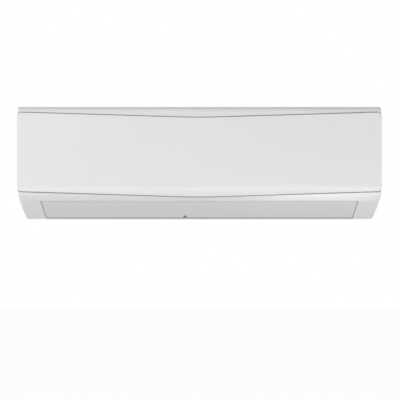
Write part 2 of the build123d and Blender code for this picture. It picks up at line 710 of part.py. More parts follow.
def chassis():
    """Rear body: back wall with its rim, pipe channel, air guide, trough and motor cradle."""
    reach = INSIDE_END - SEAT
    top = INSIDE_TOP - SEAT
    body = block(-reach, reach, BACK_FROM_WALL, BACK_FACE, CHANNEL_ROOF, top)
    body += block(-reach, reach, CASING_BACK, BACK_FROM_WALL + 1, top - BACK_WALL, top)
    for side in (-1, 1):
        ends = sorted((side * reach, side * (reach - BACK_WALL)))
        body += block(*ends, CASING_BACK, BACK_FROM_WALL + 1, CHANNEL_ROOF, top)
    duct_end = MOUTH_END + SEAT
    roof_front = guide_back_u(CHANNEL_ROOF) + GUIDE_WALL / 2
    body += block(-duct_end, DUCT_RIGHT, BACK_FROM_WALL, roof_front, CHANNEL_ROOF, CHANNEL_ROOF + BACK_WALL)
    shelf_front = guide_back_u(CHANNEL_ROOF) - 3 * BACK_WALL
    body += block(-reach, -duct_end, BACK_FROM_WALL, shelf_front, CHANNEL_ROOF, CHANNEL_ROOF + BACK_WALL)
    body += across(guide_section(), -duct_end, duct_end) - motor_bay()
    body += across(lower_lip(), -MOUTH_END + SEAT, MOUTH_END - SEAT)
    body += across(trough_section(), FIN_LEFT - 8, FIN_RIGHT + 4)
    body += [motor_cradle(x) for x in cradle_stations()]
    for x in cradle_stations():
        hole = SMALL_SCREW_RADIUS + PIN_PLAY
        place = (x + CRADLE_WEB / 2, clamp_ear_height())
        body -= outward_bar(*place, FAN_FROM_WALL - SMALL_SCREW_LENGTH - 2, FAN_FROM_WALL + 1, hole)
    body += [hook_ledge(side * HOOK_SPREAD / 2) for side in (-1, 1)]
    return body


# ---- Wall plate ----
def plate_section():
    """Pressed sheet: two ribs stand off the wall, and the lower edge is turned out."""
    low = DATUM_HEIGHT - PLATE_HEIGHT / 2
    high = DATUM_HEIGHT + PLATE_HEIGHT / 2
    points = [(BACK_FROM_WALL - SEAT - 0.5, low), (0, low)]
    for middle in (DATUM_HEIGHT - PLATE_RIB_SPREAD / 2, DATUM_HEIGHT + PLATE_RIB_SPREAD / 2):
        half = PLATE_RIB_HEIGHT / 2
        points += [(0, middle - half), (PLATE_RIB, middle - half + PLATE_RIB)]
        points += [(PLATE_RIB, middle + half - PLATE_RIB), (0, middle + half)]
    points += [(0, high)]
    return ribbon(list(reversed(points)), SHEET)


def plate_hook(x):
    """Hook at the plate's upper edge, bent out and up."""
    root = DATUM_HEIGHT + PLATE_HEIGHT / 2 - 4
    points = [(0, root), (HOOK_REACH, root), (HOOK_REACH, root + HOOK_RISE)]
    return across(ribbon(points, SHEET), x - HOOK_WIDTH / 2, x + HOOK_WIDTH / 2)


def mounting_plate():
    """The steel plate that is screwed to the wall and carries the unit."""
    plate = across(plate_section(), -PLATE_LENGTH / 2, PLATE_LENGTH / 2)
    plate += [plate_hook(side * HOOK_SPREAD / 2) for side in (-1, 1)]
    for x in (-WALL_HOLES_APART / 2, WALL_HOLES_APART / 2):
        for z in (-WALL_HOLES_RISE / 2, WALL_HOLES_RISE / 2):
            plate -= outward_bar(x, DATUM_HEIGHT + z, -1, 3 * SHEET + PLATE_RIB, WALL_HOLE_RADIUS)
    return plate


# ---- Drain pan and tongue ----
def tongue_axes():
    """Directions in a section: down the tongue's face, and out of it into the duct."""
    down = unit(TONGUE, TONGUE_FOOT)
    return down, (down[1], -down[0])


def vane_root():
    """Point on the tongue's face where the vanes turn."""
    down, _ = tongue_axes()
    return (TONGUE[0] + down[0] * VANE_DOWN_TONGUE, TONGUE[1] + down[1] * VANE_DOWN_TONGUE)


def pan_section():
    """Section of the pan: tongue and duct face behind, tray between two rims, curved front."""
    outer = CHIN_RADIUS - WALL - SEAT
    front_high = polar(CHIN_CENTRE, outer, 0)
    front_middle = polar(CHIN_CENTRE, outer, -24)
    front_low = polar(CHIN_CENTRE, outer, -39)
    lip = (MOUTH_FRONT - SEAT, TONGUE_FOOT[1] + 3)
    over_lip = (MOUTH_FRONT + WALL + SEAT, LIP_HEIGHT + SEAT)
    inner_front = (front_high[0] - PAN_WALL, PAN_RIM)
    inner_back = (TONGUE[0] + 1.2 * PAN_WALL + 3, PAN_FLOOR)
    edges = [
        Line(TONGUE, TONGUE_FOOT),
        Line(TONGUE_FOOT, lip),
        Line(lip, (lip[0], over_lip[1])),
        Line((lip[0], over_lip[1]), over_lip),
        Line(over_lip, front_low),
        ThreePointArc(front_low, front_middle, front_high),
        Line(front_high, (front_high[0], PAN_RIM)),
        Line((front_high[0], PAN_RIM), inner_front),
        Line(inner_front, (inner_front[0], PAN_FLOOR)),
        Line((inner_front[0], PAN_FLOOR), inner_back),
        Line(inner_back, (TONGUE[0] + PAN_WALL, TONGUE[1] + TONGUE_TIP)),
        Line((TONGUE[0] + PAN_WALL, TONGUE[1] + TONGUE_TIP), (TONGUE[0], TONGUE[1] + TONGUE_TIP)),
        Line((TONGUE[0], TONGUE[1] + TONGUE_TIP), TONGUE),
    ]
    return make_face(edges)


def vane_plane(x):
    """Plane of one vane at x: local x runs down the tongue, local y out of it into the duct."""
    down, _ = tongue_axes()
    return Plane(origin=at(x, *vane_root()), x_dir=(0, -down[0], down[1]), z_dir=(1, 0, 0))


def vane_bar(x, along, low, high, radius):
    """A round bar square to the tongue's face, beside a vane's root."""
    bar = Pos(along, (low + high) / 2, 0) * Rot(90, 0, 0) * Cylinder(radius, high - low)
    return vane_plane(x) * bar


def vane_stations():
    """Places of all the vanes along the unit, group by group."""
    return [start + VANE_PITCH * i for start in VANE_GROUP_STARTS for i in range(VANES_IN_GROUP)]


def spigot(side):
    """Drain outlet at one end of the pan."""
    root = side * (MOUTH_END - SEAT)
    tip = side * (MOUTH_END - SEAT + SPIGOT_LENGTH)
    return rod(*sorted((root, tip)), SPIGOT_PLACE, SPIGOT_RADIUS)


def drain_pan():
    """Drip tray under the front fins, in one piece with the fan's tongue and the duct's face."""
    end = MOUTH_END - SEAT
    pan = across(pan_section(), -end, end)
    wall = block(-end, end, TONGUE[0] + PAN_WALL, INSIDE_FRONT - 3 * SEAT, PAN_FLOOR - 1, PAN_RIM)
    inner = end - PAN_END_WALL
    wall -= block(-inner, inner, TONGUE[0], INSIDE_FRONT, PAN_FLOOR - 2, PAN_RIM + 1)
    pan += wall
    for side in (-1, 1):
        pan += spigot(side)
        bore = sorted((side * (inner - 1), side * (end + SPIGOT_LENGTH + 1)))
        pan -= rod(*bore, SPIGOT_PLACE, SPIGOT_BORE)
    for x in vane_stations():
        pan -= vane_bar(x, 0, -VANE_PIN_LENGTH - SEAT, SEAT, VANE_PIN_RADIUS + PIN_PLAY)
    for x in frame_screw_places():
        front = INSIDE_FRONT - 2 * SEAT
        back = FRONT - SCREW_HEAD - SCREW_LENGTH - 1
        pan += outward_bar(x, FRAME_SCREW_HEIGHT, back + 1, front, 2.2 * SCREW_RADIUS)
        pan -= outward_bar(x, FRAME_SCREW_HEIGHT, back, front + 1, SCREW_RADIUS + PIN_PLAY)
    return pan


def drain_plug():
    """Rubber cap on the spare spigot."""
    tip = -(MOUTH_END - SEAT + SPIGOT_LENGTH)
    cap = rod(tip - PLUG_WALL, tip + PLUG_REACH, SPIGOT_PLACE, SPIGOT_RADIUS + PIN_PLAY + PLUG_WALL)
    return cap - rod(tip, tip + PLUG_REACH + 1, SPIGOT_PLACE, SPIGOT_RADIUS + PIN_PLAY)


# ---- Duct ends and fan bearing ----
def duct_end_outline(front):
    """Outline of a duct end: round the fan, down to the mouth; the front edge is given."""
    low = guide_foot(GUIDE_RADIUS + GUIDE_WALL)
    rear = [polar(GUIDE_CENTRE, GUIDE_RADIUS + GUIDE_WALL, angle) for angle in (160, 180, GUIDE_TURN)]
    return outline(
        (low[0] + 2, low[1] + 3),
        (MOUTH_REAR[0] + 2, MOUTH_REAR[1] + 6),
        *front,
        (TONGUE[0] + 4, FAN_HEIGHT + 12),
        (FAN_AXIS[0] + FAN_RADIUS * 0.8, GUIDE_TOP),
        (guide_u(GUIDE_TOP), GUIDE_TOP),
        *rear,
    )


def duct_end_left():
    """Flat left end of the duct, with the seat of the fan's bearing and the louver's eye."""
    lip_u = MOUTH_FRONT - WALL
    lip_low = LIP_HEIGHT - LIP_DEPTH + END_WALL
    front = [(lip_u, lip_low), (lip_u, LIP_HEIGHT), (TONGUE[0] + 4 * PAN_WALL, PAN_RIM)]
    wall = across(duct_end_outline(front), -MOUTH_END - SEAT - END_WALL, -MOUTH_END - SEAT)
    seat_end = -MOUTH_END - SEAT + BEARING_LENGTH
    wall += rod(-MOUTH_END - SEAT - 1, seat_end, FAN_AXIS, BEARING_RADIUS + 2)
    wall -= rod(-MOUTH_END - SEAT, seat_end + 1, FAN_AXIS, BEARING_RADIUS + PIN_PLAY)
    return wall - rod(-END, -MOUTH_END, LOUVER_PIVOT, LOUVER_PIN_RADIUS + PIN_PLAY)


def duct_end_right():
    """Right end of the duct: upright at the fan, flared out round the motor to the mouth."""
    outer = MOUTH_END + SEAT
    path = [(DUCT_RIGHT, GUIDE_TOP), (DUCT_RIGHT, DUCT_FLARE_TOP), (outer, DUCT_FLARE_FOOT), (outer, 0)]
    wall = extrude(front_plane() * ribbon(path, END_WALL), amount=DEPTH)
    foot = (TONGUE_FOOT[0] - SEAT, TONGUE_FOOT[1] - SEAT)
    front = [foot, (TONGUE[0] - SEAT, TONGUE[1] - SEAT), (TONGUE[0] - SEAT, PAN_RIM)]
    wall &= across(duct_end_outline(front), 0, END)
    wall -= rod(DUCT_RIGHT - 1, MOTOR_LEFT, FAN_AXIS, FAN_HUB_RADIUS + 2)
    for u in stepper_ears():
        wall -= rod(MOUTH_END, END, (u, STEPPER_AXIS[1]), SMALL_SCREW_RADIUS + PIN_PLAY)
    return wall - rod(MOUTH_END, END, LOUVER_PIVOT, LOUVER_PIN_RADIUS + PIN_PLAY)


def fan_bearing():
    """Rubber bearing that carries the wheel's left stub."""
    left = -MOUTH_END - SEAT
    ring = rod(left, left + BEARING_LENGTH, FAN_AXIS, BEARING_RADIUS)
    return ring - rod(left - 1, left + BEARING_LENGTH + 1, FAN_AXIS, FAN_SHAFT_RADIUS + PIN_PLAY)


# ---- Fan ----
def blade(angle):
    """Crescent section of one forward-curved blade."""
    root = polar((0, 0), FAN_BORE + 1, angle)
    tip = polar((0, 0), FAN_RADIUS - 0.2, angle + FAN_LEAN)
    back = SagittaArc(root, tip, 2.4)
    face = SagittaArc(tip, root, -1.1)
    return make_face([back, face])


def fan_wheel():
    """Long cross-flow wheel: curved blades through thin rings, closed by two end discs."""
    blades = [Pos(*FAN_AXIS) * blade(360 / FAN_BLADES * i) for i in range(FAN_BLADES)]
    step = (FAN_RIGHT - FAN_LEFT - FAN_DISC) / FAN_SECTIONS
    ring = Pos(*FAN_AXIS) * (Circle(FAN_RADIUS) - Circle(FAN_BORE))
    wheel = across(Pos(*FAN_AXIS) * Circle(FAN_RADIUS), FAN_LEFT, FAN_LEFT + FAN_DISC)
    wheel += across(Pos(*FAN_AXIS) * Circle(FAN_RADIUS), FAN_RIGHT - FAN_DISC, FAN_RIGHT)
    for i in range(1, FAN_SECTIONS):
        wheel += across(ring, FAN_LEFT + step * i, FAN_LEFT + step * i + FAN_DISC)
    wheel += [across(face, FAN_LEFT + FAN_DISC / 2, FAN_RIGHT - FAN_DISC / 2) for face in blades]
    wheel += rod(-MOUTH_END + 1, FAN_LEFT + 1, FAN_AXIS, FAN_SHAFT_RADIUS)
    wheel += rod(FAN_RIGHT - FAN_HUB_LENGTH, FAN_RIGHT, FAN_AXIS, FAN_HUB_RADIUS)
    return wheel - rod(FAN_RIGHT - FAN_HUB_LENGTH + 2, FAN_RIGHT + 1, FAN_AXIS, FAN_SHAFT_RADIUS + PIN_PLAY)


def motor_shaft():
    """The motor's shaft, held in the wheel's hub."""
    return rod(FAN_RIGHT - FAN_HUB_LENGTH + 2, MOTOR_LEFT + MOTOR_LENGTH - 6, FAN_AXIS, FAN_SHAFT_RADIUS)


def fan_motor():
    """Round resin-cased motor with a neck at each end."""
    right = MOTOR_LEFT + MOTOR_LENGTH
    can = rod(MOTOR_LEFT + 2, right - 2, FAN_AXIS, MOTOR_RADIUS)
    can = chamfer(can.edges().filter_by(GeomType.CIRCLE), 3)
    can += rod(MOTOR_LEFT, right, FAN_AXIS, 2.4 * FAN_SHAFT_RADIUS)
    return can - rod(MOTOR_LEFT - 1, right - 5, FAN_AXIS, FAN_SHAFT_RADIUS + PIN_PLAY)


def motor_clamp():
    """Half strap that holds the motor: a tab between the cradle's webs below, ears above."""
    left, right = cradle_stations()
    ring = sector(FAN_AXIS, MOTOR_RADIUS + SEAT, MOTOR_RADIUS + SEAT + STRAP, -90, 90)
    strap = across(ring, left, right + CRADLE_WEB)
    low = FAN_HEIGHT - MOTOR_RADIUS - SEAT - STRAP
    tab = (left + CRADLE_WEB + SEAT, right - SEAT, FAN_FROM_WALL - 12, FAN_FROM_WALL + 1)
    strap += block(*tab, low, low + STRAP)
    middle = clamp_ear_height()
    ears = (left, right + CRADLE_WEB, FAN_FROM_WALL, FAN_FROM_WALL + STRAP)
    strap += block(*ears, middle - CLAMP_EAR / 2, middle + CLAMP_EAR / 2)
    for x in (left + CRADLE_WEB / 2, right + CRADLE_WEB / 2):
        hole = SMALL_SCREW_RADIUS + PIN_PLAY
        strap -= outward_bar(x, middle, FAN_FROM_WALL - 1, FAN_FROM_WALL + STRAP + 1, hole)
    return strap


# ---- Louver ----
def louver_arm(x):
    """Cheek that joins the louver to its pivot."""
    centre = LOUVER_PIVOT
    arc = mouth_arc()
    lean = atan2((arc @ 0).Y - (arc @ 1).Y, (arc @ 0).X - (arc @ 1).X)
    ahead = (cos(lean), sin(lean))
    inward = (-sin(lean), cos(lean))
    drop = (centre[0] - MOUTH_REAR[0]) * inward[0] + (centre[1] - MOUTH_REAR[1]) * inward[1]
    foot = drop + MOUTH_BULGE - LOUVER_THICKNESS / 2
    corners = []
    narrow, wide = LOUVER_EYE_RADIUS, 2.2 * LOUVER_EYE_RADIUS
    for along, down in ((-narrow, 0), (-wide, foot), (wide, foot), (narrow, 0)):
        u = centre[0] + ahead[0] * along - inward[0] * down
        z = centre[1] + ahead[1] * along - inward[1] * down
        corners.append((u, z))
    cheek = outline(*corners) + Pos(*centre) * Circle(LOUVER_EYE_RADIUS)
    return across(cheek, x - LOUVER_ARM_WIDTH / 2, x + LOUVER_ARM_WIDTH / 2)


def centre_cheeks():
    """Stations of the two cheeks beside the centre bearing."""
    spread = CENTRE_BEARING_WIDTH / 2 + 1 + LOUVER_ARM_WIDTH / 2
    return [CENTRE_BEARING_X - spread, CENTRE_BEARING_X + spread]


def louver():
    """The wide air louver with its cheeks and pins, notched round the centre bearing."""
    blade_strip = across(louver_band(), -LOUVER_END, LOUVER_END)
    half = CENTRE_BEARING_WIDTH / 2 + 1
    notch_end = LOUVER_PIVOT[0] + LOUVER_NOTCH_REACH
    blade_strip -= block(CENTRE_BEARING_X - half, CENTRE_BEARING_X + half, 0, notch_end, -5, LIP_HEIGHT)
    ends = [side * (LOUVER_END - LOUVER_ARM_WIDTH / 2) for side in (-1, 1)]
    blade_strip += [louver_arm(x) for x in ends + centre_cheeks()]
    blade_strip += rod(centre_cheeks()[0], centre_cheeks()[1], LOUVER_PIVOT, LOUVER_PIN_RADIUS)
    pin_end = MOUTH_END + SEAT + END_WALL + 1
    blade_strip += rod(-pin_end, -LOUVER_END + 1, LOUVER_PIVOT, LOUVER_PIN_RADIUS)
    return blade_strip + rod(LOUVER_END - 1, pin_end + 6, LOUVER_PIVOT, LOUVER_PIN_RADIUS)


def louver_bearing():
    """Thin elbow from the lower lip up and over to the middle of the louver's pin."""
    foot = guide_foot(GUIDE_RADIUS)
    nose_u = foot[0] + LIP_REACH + SEAT
    centre = LOUVER_PIVOT
    eye = LOUVER_PIN_RADIUS + CENTRE_BEARING_WALL
    underside = centre[1] - eye
    arm = outline(
        (foot[0] + 1, foot[1] + SEAT),
        (nose_u - 1, LIP_RISE + 1.6 + SEAT),
        (nose_u, LIP_RISE),
        (nose_u + 0.5, 0),
        (nose_u + 4.2, 0.4),
        (nose_u + 3.3, 1.5),
        (nose_u - 0.3, 6),
        (foot[0] + 5, underside - 4.8),
        (foot[0] + 5, underside),
        (centre[0], underside),
        (centre[0] - 1, centre[1] + 0.9 * eye),
        (foot[0] + 1, underside + 3),
    )
    arm += Pos(*centre) * Circle(eye)
    arm -= Pos(*centre) * Circle(LOUVER_PIN_RADIUS + PIN_PLAY)
    half = CENTRE_BEARING_WIDTH / 2
    return across(arm, CENTRE_BEARING_X - half, CENTRE_BEARING_X + half)


def stepper_ears():
    """Places of the two screws of the louver motor, off the wall."""
    spread = STEPPER_RADIUS + 3
    return (STEPPER_AXIS[0] - spread, STEPPER_AXIS[0] + spread)


def louver_motor():
    """Small geared motor on the right duct end that turns the louver."""
    left = MOUTH_END + SEAT + END_WALL
    can = rod(left, left + STEPPER_LENGTH, STEPPER_AXIS, STEPPER_RADIUS)
    near, far = stepper_ears()
    can += block(left, left + SHEET, near - 3, far + 3, STEPPER_AXIS[1] - 3, STEPPER_AXIS[1] + 3)
    for u in (near, far):
        can -= rod(left - 1, left + SHEET + 1, (u, STEPPER_AXIS[1]), SMALL_SCREW_RADIUS + PIN_PLAY)
    return can - rod(left - 1, left + 9, LOUVER_PIVOT, LOUVER_PIN_RADIUS + PIN_PLAY)


# ---- Upright vanes and their link rods ----
def vane(x):
    """One upright vane with its pivot stub and the pin of its link rod."""
    corners = [
        (-VANE_UPSTREAM, 1.6),
        (VANE_DOWNSTREAM, 1.6),
        (VANE_DOWNSTREAM, VANE_REACH - 4),
        (VANE_DOWNSTREAM - 6, VANE_REACH),
        (-VANE_UPSTREAM, VANE_REACH),
    ]
    sheet = extrude(vane_plane(x) * outline(*corners), amount=VANE_THICKNESS / 2, both=True)
    sheet += vane_bar(x, 0, SEAT, 2, 2 * VANE_PIN_RADIUS)
    sheet += vane_bar(x, 0, -VANE_PIN_LENGTH, 2, VANE_PIN_RADIUS)
    return sheet + vane_bar(x, ROD_OFFSET, VANE_REACH - 1, VANE_REACH + ROD_THICKNESS + 1.5, ROD_PIN_RADIUS)


def link_rod(stations):
    """Flat rod that joins the pins of one group of vanes."""
    left = stations[0] - ROD_WIDTH
    length = stations[-1] + ROD_WIDTH - left
    low = VANE_REACH + SEAT
    bar = Pos(ROD_OFFSET, low + ROD_THICKNESS / 2, length / 2) * Box(ROD_WIDTH, ROD_THICKNESS, length)
    bar = vane_plane(left) * bar
    for x in stations:
        bar -= vane_bar(x, ROD_OFFSET, low - 1, low + ROD_THICKNESS + 1, ROD_PIN_RADIUS + ROD_PIN_PLAY)
    return bar


# ---- Filters ----
def filter_span(side):
    """Ends of one filter along the unit."""
    return sorted((side * FILTER_INNER, side * (FILTER_INNER + FILTER_LENGTH)))


def filter_frame(side):
    """Curved frame of one filter, with a grid of openings and a grip at its lower edge."""
    left, right = filter_span(side)
    inner = FILTER_RADIUS - FILTER_THICKNESS
    frame = across(sector(FILTER_AXIS, inner, FILTER_RADIUS, FILTER_LOW, FILTER_HIGH), left, right)
    bar_angle = degrees(FILTER_BAR / FILTER_RADIUS)
    cell = (FILTER_HIGH - FILTER_LOW - bar_angle) / FILTER_CELLS
    bay = (right - left - FILTER_BAR) / FILTER_BAYS
    for i in range(FILTER_CELLS):
        low = FILTER_LOW + bar_angle + cell * i
        hole = sector(FILTER_AXIS, inner - 1, FILTER_RADIUS + 1, low, low + cell - bar_angle)
        for j in range(FILTER_BAYS):
            start = left + FILTER_BAR + bay * j
            frame -= across(hole, start, start + bay - FILTER_BAR)
    crest = FILTER_RADIUS + FILTER_GRIP_RISE
    grip = sector(FILTER_AXIS, FILTER_RADIUS - 0.5, crest, FILTER_LOW, FILTER_LOW + 1.5)
    middle = (left + right) / 2
    return frame + across(grip, middle - FILTER_GRIP / 2, middle + FILTER_GRIP / 2)


def filter_mesh(side):
    """Fine mesh that lies on the inside of a filter's frame."""
    left, right = filter_span(side)
    outer = FILTER_RADIUS - FILTER_THICKNESS
    margin = degrees(FILTER_BAR / FILTER_RADIUS) / 2
    sheet = sector(FILTER_AXIS, outer - FILTER_MESH, outer, FILTER_LOW + margin, FILTER_HIGH - margin)
    return across(sheet, left + FILTER_BAR / 2, right - FILTER_BAR / 2)


# ---- Evaporator ----
def fin_pack(start, heading, length):
    """Section of one fin pack: it lies to the left of a run from the start point."""
    along = polar((0, 0), 1, heading)
    across_it = (-along[1], along[0])
    far = (start[0] + along[0] * length, start[1] + along[1] * length)
    offset_by = (across_it[0] * FIN_DEPTH, across_it[1] * FIN_DEPTH)
    outer_far = (far[0] + offset_by[0], far[1] + offset_by[1])
    outer_start = (start[0] + offset_by[0], start[1] + offset_by[1])
    return outline(start, far, outer_far, outer_start)


def apex():
    """Top of the coil, where the rear and the top fins meet over the fan."""
    outer_middle = polar(FILTER_AXIS, FILTER_RADIUS - FIN_FILTER_GAP, FIN_FILTER_ANGLE)
    inner_middle = polar(outer_middle, FIN_DEPTH, 90 - FIN_SLOPE - 180)
    start = polar(inner_middle, FIN_TOP_LENGTH / 2, 180 - FIN_SLOPE)
    return (start[0] - APEX_GAP / 2, start[1])


def elbow():
    """Inner corner of the top fins at their lower end, over the front fins."""
    return polar((apex()[0] + APEX_GAP / 2, apex()[1]), FIN_TOP_LENGTH, -FIN_SLOPE)


def heel():
    """Inner corner of the rear fins at their lower end, over the trough."""
    return (FIN_HEEL_FROM_WALL, GUIDE_TOP + FIN_HEEL_RISE)


def fin_sections():
    """Sections of the three fin packs: front, top and rear."""
    top_u, top_z = apex()
    front_length = elbow()[1] - FIN_ELBOW_GAP - FIN_FOOT_HEIGHT
    rise = top_z - heel()[1]
    run = top_u - APEX_GAP / 2 - heel()[0]
    foot = (FIN_FRONT_FROM_WALL + FIN_DEPTH, FIN_FOOT_HEIGHT)
    return {
        "evaporator_front": fin_pack(foot, 90, front_length),
        "evaporator_top": fin_pack((top_u + APEX_GAP / 2, top_z), -FIN_SLOPE, FIN_TOP_LENGTH),
        "evaporator_rear": fin_pack(heel(), degrees(atan2(rise, run)), hypot(rise, run)),
    }


def tube_places():
    """Middle of each pair of tubes, and the direction between the two, pack by pack."""
    pairs = []
    for section in fin_sections().values():
        middle = section.center()
        longest = max(section.edges(), key=lambda edge: edge.length)
        ends = sorted((longest @ 0, longest @ 1), key=lambda end: -end.Y)
        heading = unit((ends[0].X, ends[0].Y), (ends[1].X, ends[1].Y))
        for shift in (-longest.length / 4, longest.length / 4):
            pairs.append(((middle.X + heading[0] * shift, middle.Y + heading[1] * shift), heading))
    return pairs


def end_plate_outline():
    """Outline of an end plate: it covers the three packs and stands in trough and tray."""
    front, top, rear = fin_sections().values()
    top_u, top_z = apex()
    half = 2 * FIN_DEPTH / 3
    plate = front + top + rear
    plate += outline((top_u - half, top_z + 14), (top_u, top_z - 3), (top_u + half, top_z + 14))
    low_u = FIN_FRONT_FROM_WALL
    low_z = elbow()[1] - FIN_ELBOW_GAP
    inner = polar(elbow(), FIN_ELBOW_GAP, 180 - FIN_SLOPE)
    outer = polar(inner, FIN_DEPTH, 90 - FIN_SLOPE)
    plate += outline((low_u + 1, low_z - 4), (low_u + FIN_DEPTH - 1, low_z - 4), outer, inner)
    foot_height = FIN_FOOT_HEIGHT - PAN_FLOOR
    foot_z = PAN_FLOOR + foot_height / 2 + SEAT
    plate += Pos(low_u + FIN_DEPTH / 2, foot_z) * Rectangle(FIN_DEPTH / 2, foot_height)
    trough_floor = GUIDE_TOP + PAN_WALL + SEAT
    rest_u = FIN_HEEL_FROM_WALL - FIN_DEPTH / 3
    rest_height = heel()[1] + FIN_DEPTH / 2 - trough_floor
    return plate + Pos(rest_u, trough_floor + rest_height / 2) * Rectangle(10, rest_height)


def return_bend(place, heading, x, side):
    """One bend of tube between two holes of an end plate."""
    middle = at(x, *place)
    along = Vector(0, -heading[0], heading[1])
    start = Vector(*middle) - along * BEND_RADIUS
    end = Vector(*middle) + along * BEND_RADIUS
    crown = Vector(*middle) + Vector(side * BEND_RADIUS, 0, 0)
    path = ThreePointArc(start, crown, end)
    disc = Plane(origin=start, z_dir=(side, 0, 0)) * Circle(BEND_TUBE_RADIUS)
    return sweep(disc, path)


def return_bends():
    """All the return bends, at both ends of the packs."""
    bends = []
    for place, heading in tube_places():
        bends.append(return_bend(place, heading, FIN_LEFT - END_PLATE, -1))
    for place, heading in tube_places()[:-1]:
        bends.append(return_bend(place, heading, FIN_RIGHT + END_PLATE, 1))
    return Compound(children=bends)


def coil_sensor():
    """Copper pocket with the coil's temperature sensor, on the right end plate."""
    place = (FIN_FRONT_FROM_WALL + FIN_DEPTH / 4, (FIN_FOOT_HEIGHT + elbow()[1]) / 2)
    return rod(FIN_RIGHT + END_PLATE, FIN_RIGHT + END_PLATE + 9, place, 3)


# ---- Pipes ----
def pipe(radius, drop_u, run_height):
    """A copper pipe: out of the evaporator's end, down the bay, back along the channel."""
    start_height = heel()[1] + PIPE_RISE
    points = [
        at(FIN_RIGHT + END_PLATE, drop_u, start_height),
        at(PIPE_DROP, drop_u, start_height),
        at(PIPE_DROP, drop_u, run_height),
        at(PIPE_END_X, drop_u, run_height),
    ]
    first = 0.45 * (PIPE_DROP - FIN_RIGHT - END_PLATE)
    path = FilletPolyline(*points, radius=[max(first, 1.2 * radius), PIPE_BEND])
    disc = Plane(origin=points[0], z_dir=(1, 0, 0)) * Circle(radius)
    return sweep(disc, path)


def flare_nut(place, flats, pipe_radius, thread_radius):
    """Hexagonal flare nut on a pipe's end; its thread opens to the left."""
    left = PIPE_END_X - THREAD_DEPTH
    hexagon = Pos(*place) * Rot(0, 0, 30) * RegularPolygon(flats / 2, 6, major_radius=False)
    nut = across(hexagon, left, left + NUT_LENGTH)
    nut -= rod(left - 1, PIPE_END_X, place, thread_radius)
    return nut - rod(left, left + NUT_LENGTH + 1, place, pipe_radius + 2 * PIN_PLAY)


def pipe_clamp():
    """Plastic block that holds both pipes against the back of the air guide."""
    low = LIQUID_RUN_HEIGHT - LIQUID_RADIUS - 5
    high = GAS_RUN_HEIGHT + GAS_RADIUS + 4
    face = outline(
        (LIQUID_FROM_WALL - 8, low),
        (guide_back_u(low) - SEAT, low),
        (guide_back_u(high) - SEAT, high),
        (LIQUID_FROM_WALL - 8, high),
    )
    face -= Pos(GAS_FROM_WALL, GAS_RUN_HEIGHT) * Circle(GAS_RADIUS + SEAT)
    face -= Pos(LIQUID_FROM_WALL, LIQUID_RUN_HEIGHT) * Circle(LIQUID_RADIUS + SEAT)
    return across(face, CLAMP_X - CLAMP_WIDTH / 2, CLAMP_X + CLAMP_WIDTH / 2)


# ---- Electrical box ----
def electrical_box():
    """Deep tray at the right end that holds the control board, open to the front."""
    front = BACK_FACE + BOX_DEPTH
    box = block(BOX_LEFT, BOX_RIGHT, BACK_FACE, front, BOX_LOW, BOX_HIGH)
    wall = BOX_WALL
    box -= block(
        BOX_LEFT + wall, BOX_RIGHT - wall, BACK_FACE + wall, front + 1, BOX_LOW + wall, BOX_HIGH - wall
    )
    notch_z = (BOX_LOW + BOX_HIGH) / 2
    return box - block(BOX_LEFT - 1, BOX_LEFT + wall + 1, front - 16, front + 1, notch_z - 8, notch_z + 8)


def box_cover():
    """Cover of the electrical box, with a rim that enters the box."""
    front = BACK_FACE + BOX_DEPTH
    cover = block(BOX_LEFT, BOX_RIGHT, front, front + BOX_WALL, BOX_LOW, BOX_HIGH)
    inset = BOX_WALL + SEAT
    ends = (BOX_LEFT + inset, BOX_RIGHT - inset)
    rim = block(*ends, front - 4, front + 1, BOX_LOW + inset, BOX_HIGH - inset)
    inset += BOX_WALL
    ends = (BOX_LEFT + inset, BOX_RIGHT - inset)
    return cover + rim - block(*ends, front - 5, front, BOX_LOW + inset, BOX_HIGH - inset)


def control_board():
    """Control board on edge in its box, with transformer, relays and capacitors."""
    left = BOX_LEFT + BOX_WALL + SEAT
    rear = BACK_FACE + BOX_WALL + SEAT
    front = BACK_FACE + BOX_DEPTH - BOARD_SETBACK
    low = BOX_LOW + BOX_WALL + SEAT
    high = BOX_HIGH - BOX_WALL - SEAT
    face = left + BOARD
    margin = TRANSFORMER / 4
    board = block(left, face, rear, front, low, high)
    corner = (rear + margin, rear + margin + TRANSFORMER)
    board += block(face, face + TRANSFORMER_DEPTH, *corner, low + margin, low + margin + TRANSFORMER)
    for i in range(3):
        end = front - margin / 2 - i * RELAY
        board += block(face, face + RELAY, end - 0.75 * RELAY, end, low + margin, low + margin + RELAY)
    for i in range(2):
        place = (rear + 2.4 * CAPACITOR_RADIUS * (i + 1), high - 3 * CAPACITOR_RADIUS)
        board += rod(face, face + CAPACITOR_LENGTH, place, CAPACITOR_RADIUS)
    socket = (face, face + CONNECTOR / 2, front - CONNECTOR - margin, front - margin)
    return board + block(*socket, high - 2 * CONNECTOR, high - CONNECTOR)


def terminal_block():
    """Row of cable terminals on the box's cover, parted by ribs."""
    front = BACK_FACE + BOX_DEPTH + BOX_WALL
    middle = (BOX_LEFT + BOX_RIGHT) / 2
    low = (HATCH_LOW + HATCH_HIGH) / 2 - 14
    strip = block(middle - 22, middle + 22, front, front + 6, low, low + 28)
    for i in range(5):
        rib = middle - 21 + 10.5 * i
        strip += block(rib - 1, rib + 1, front, front + 14, low, low + 28)
    return strip


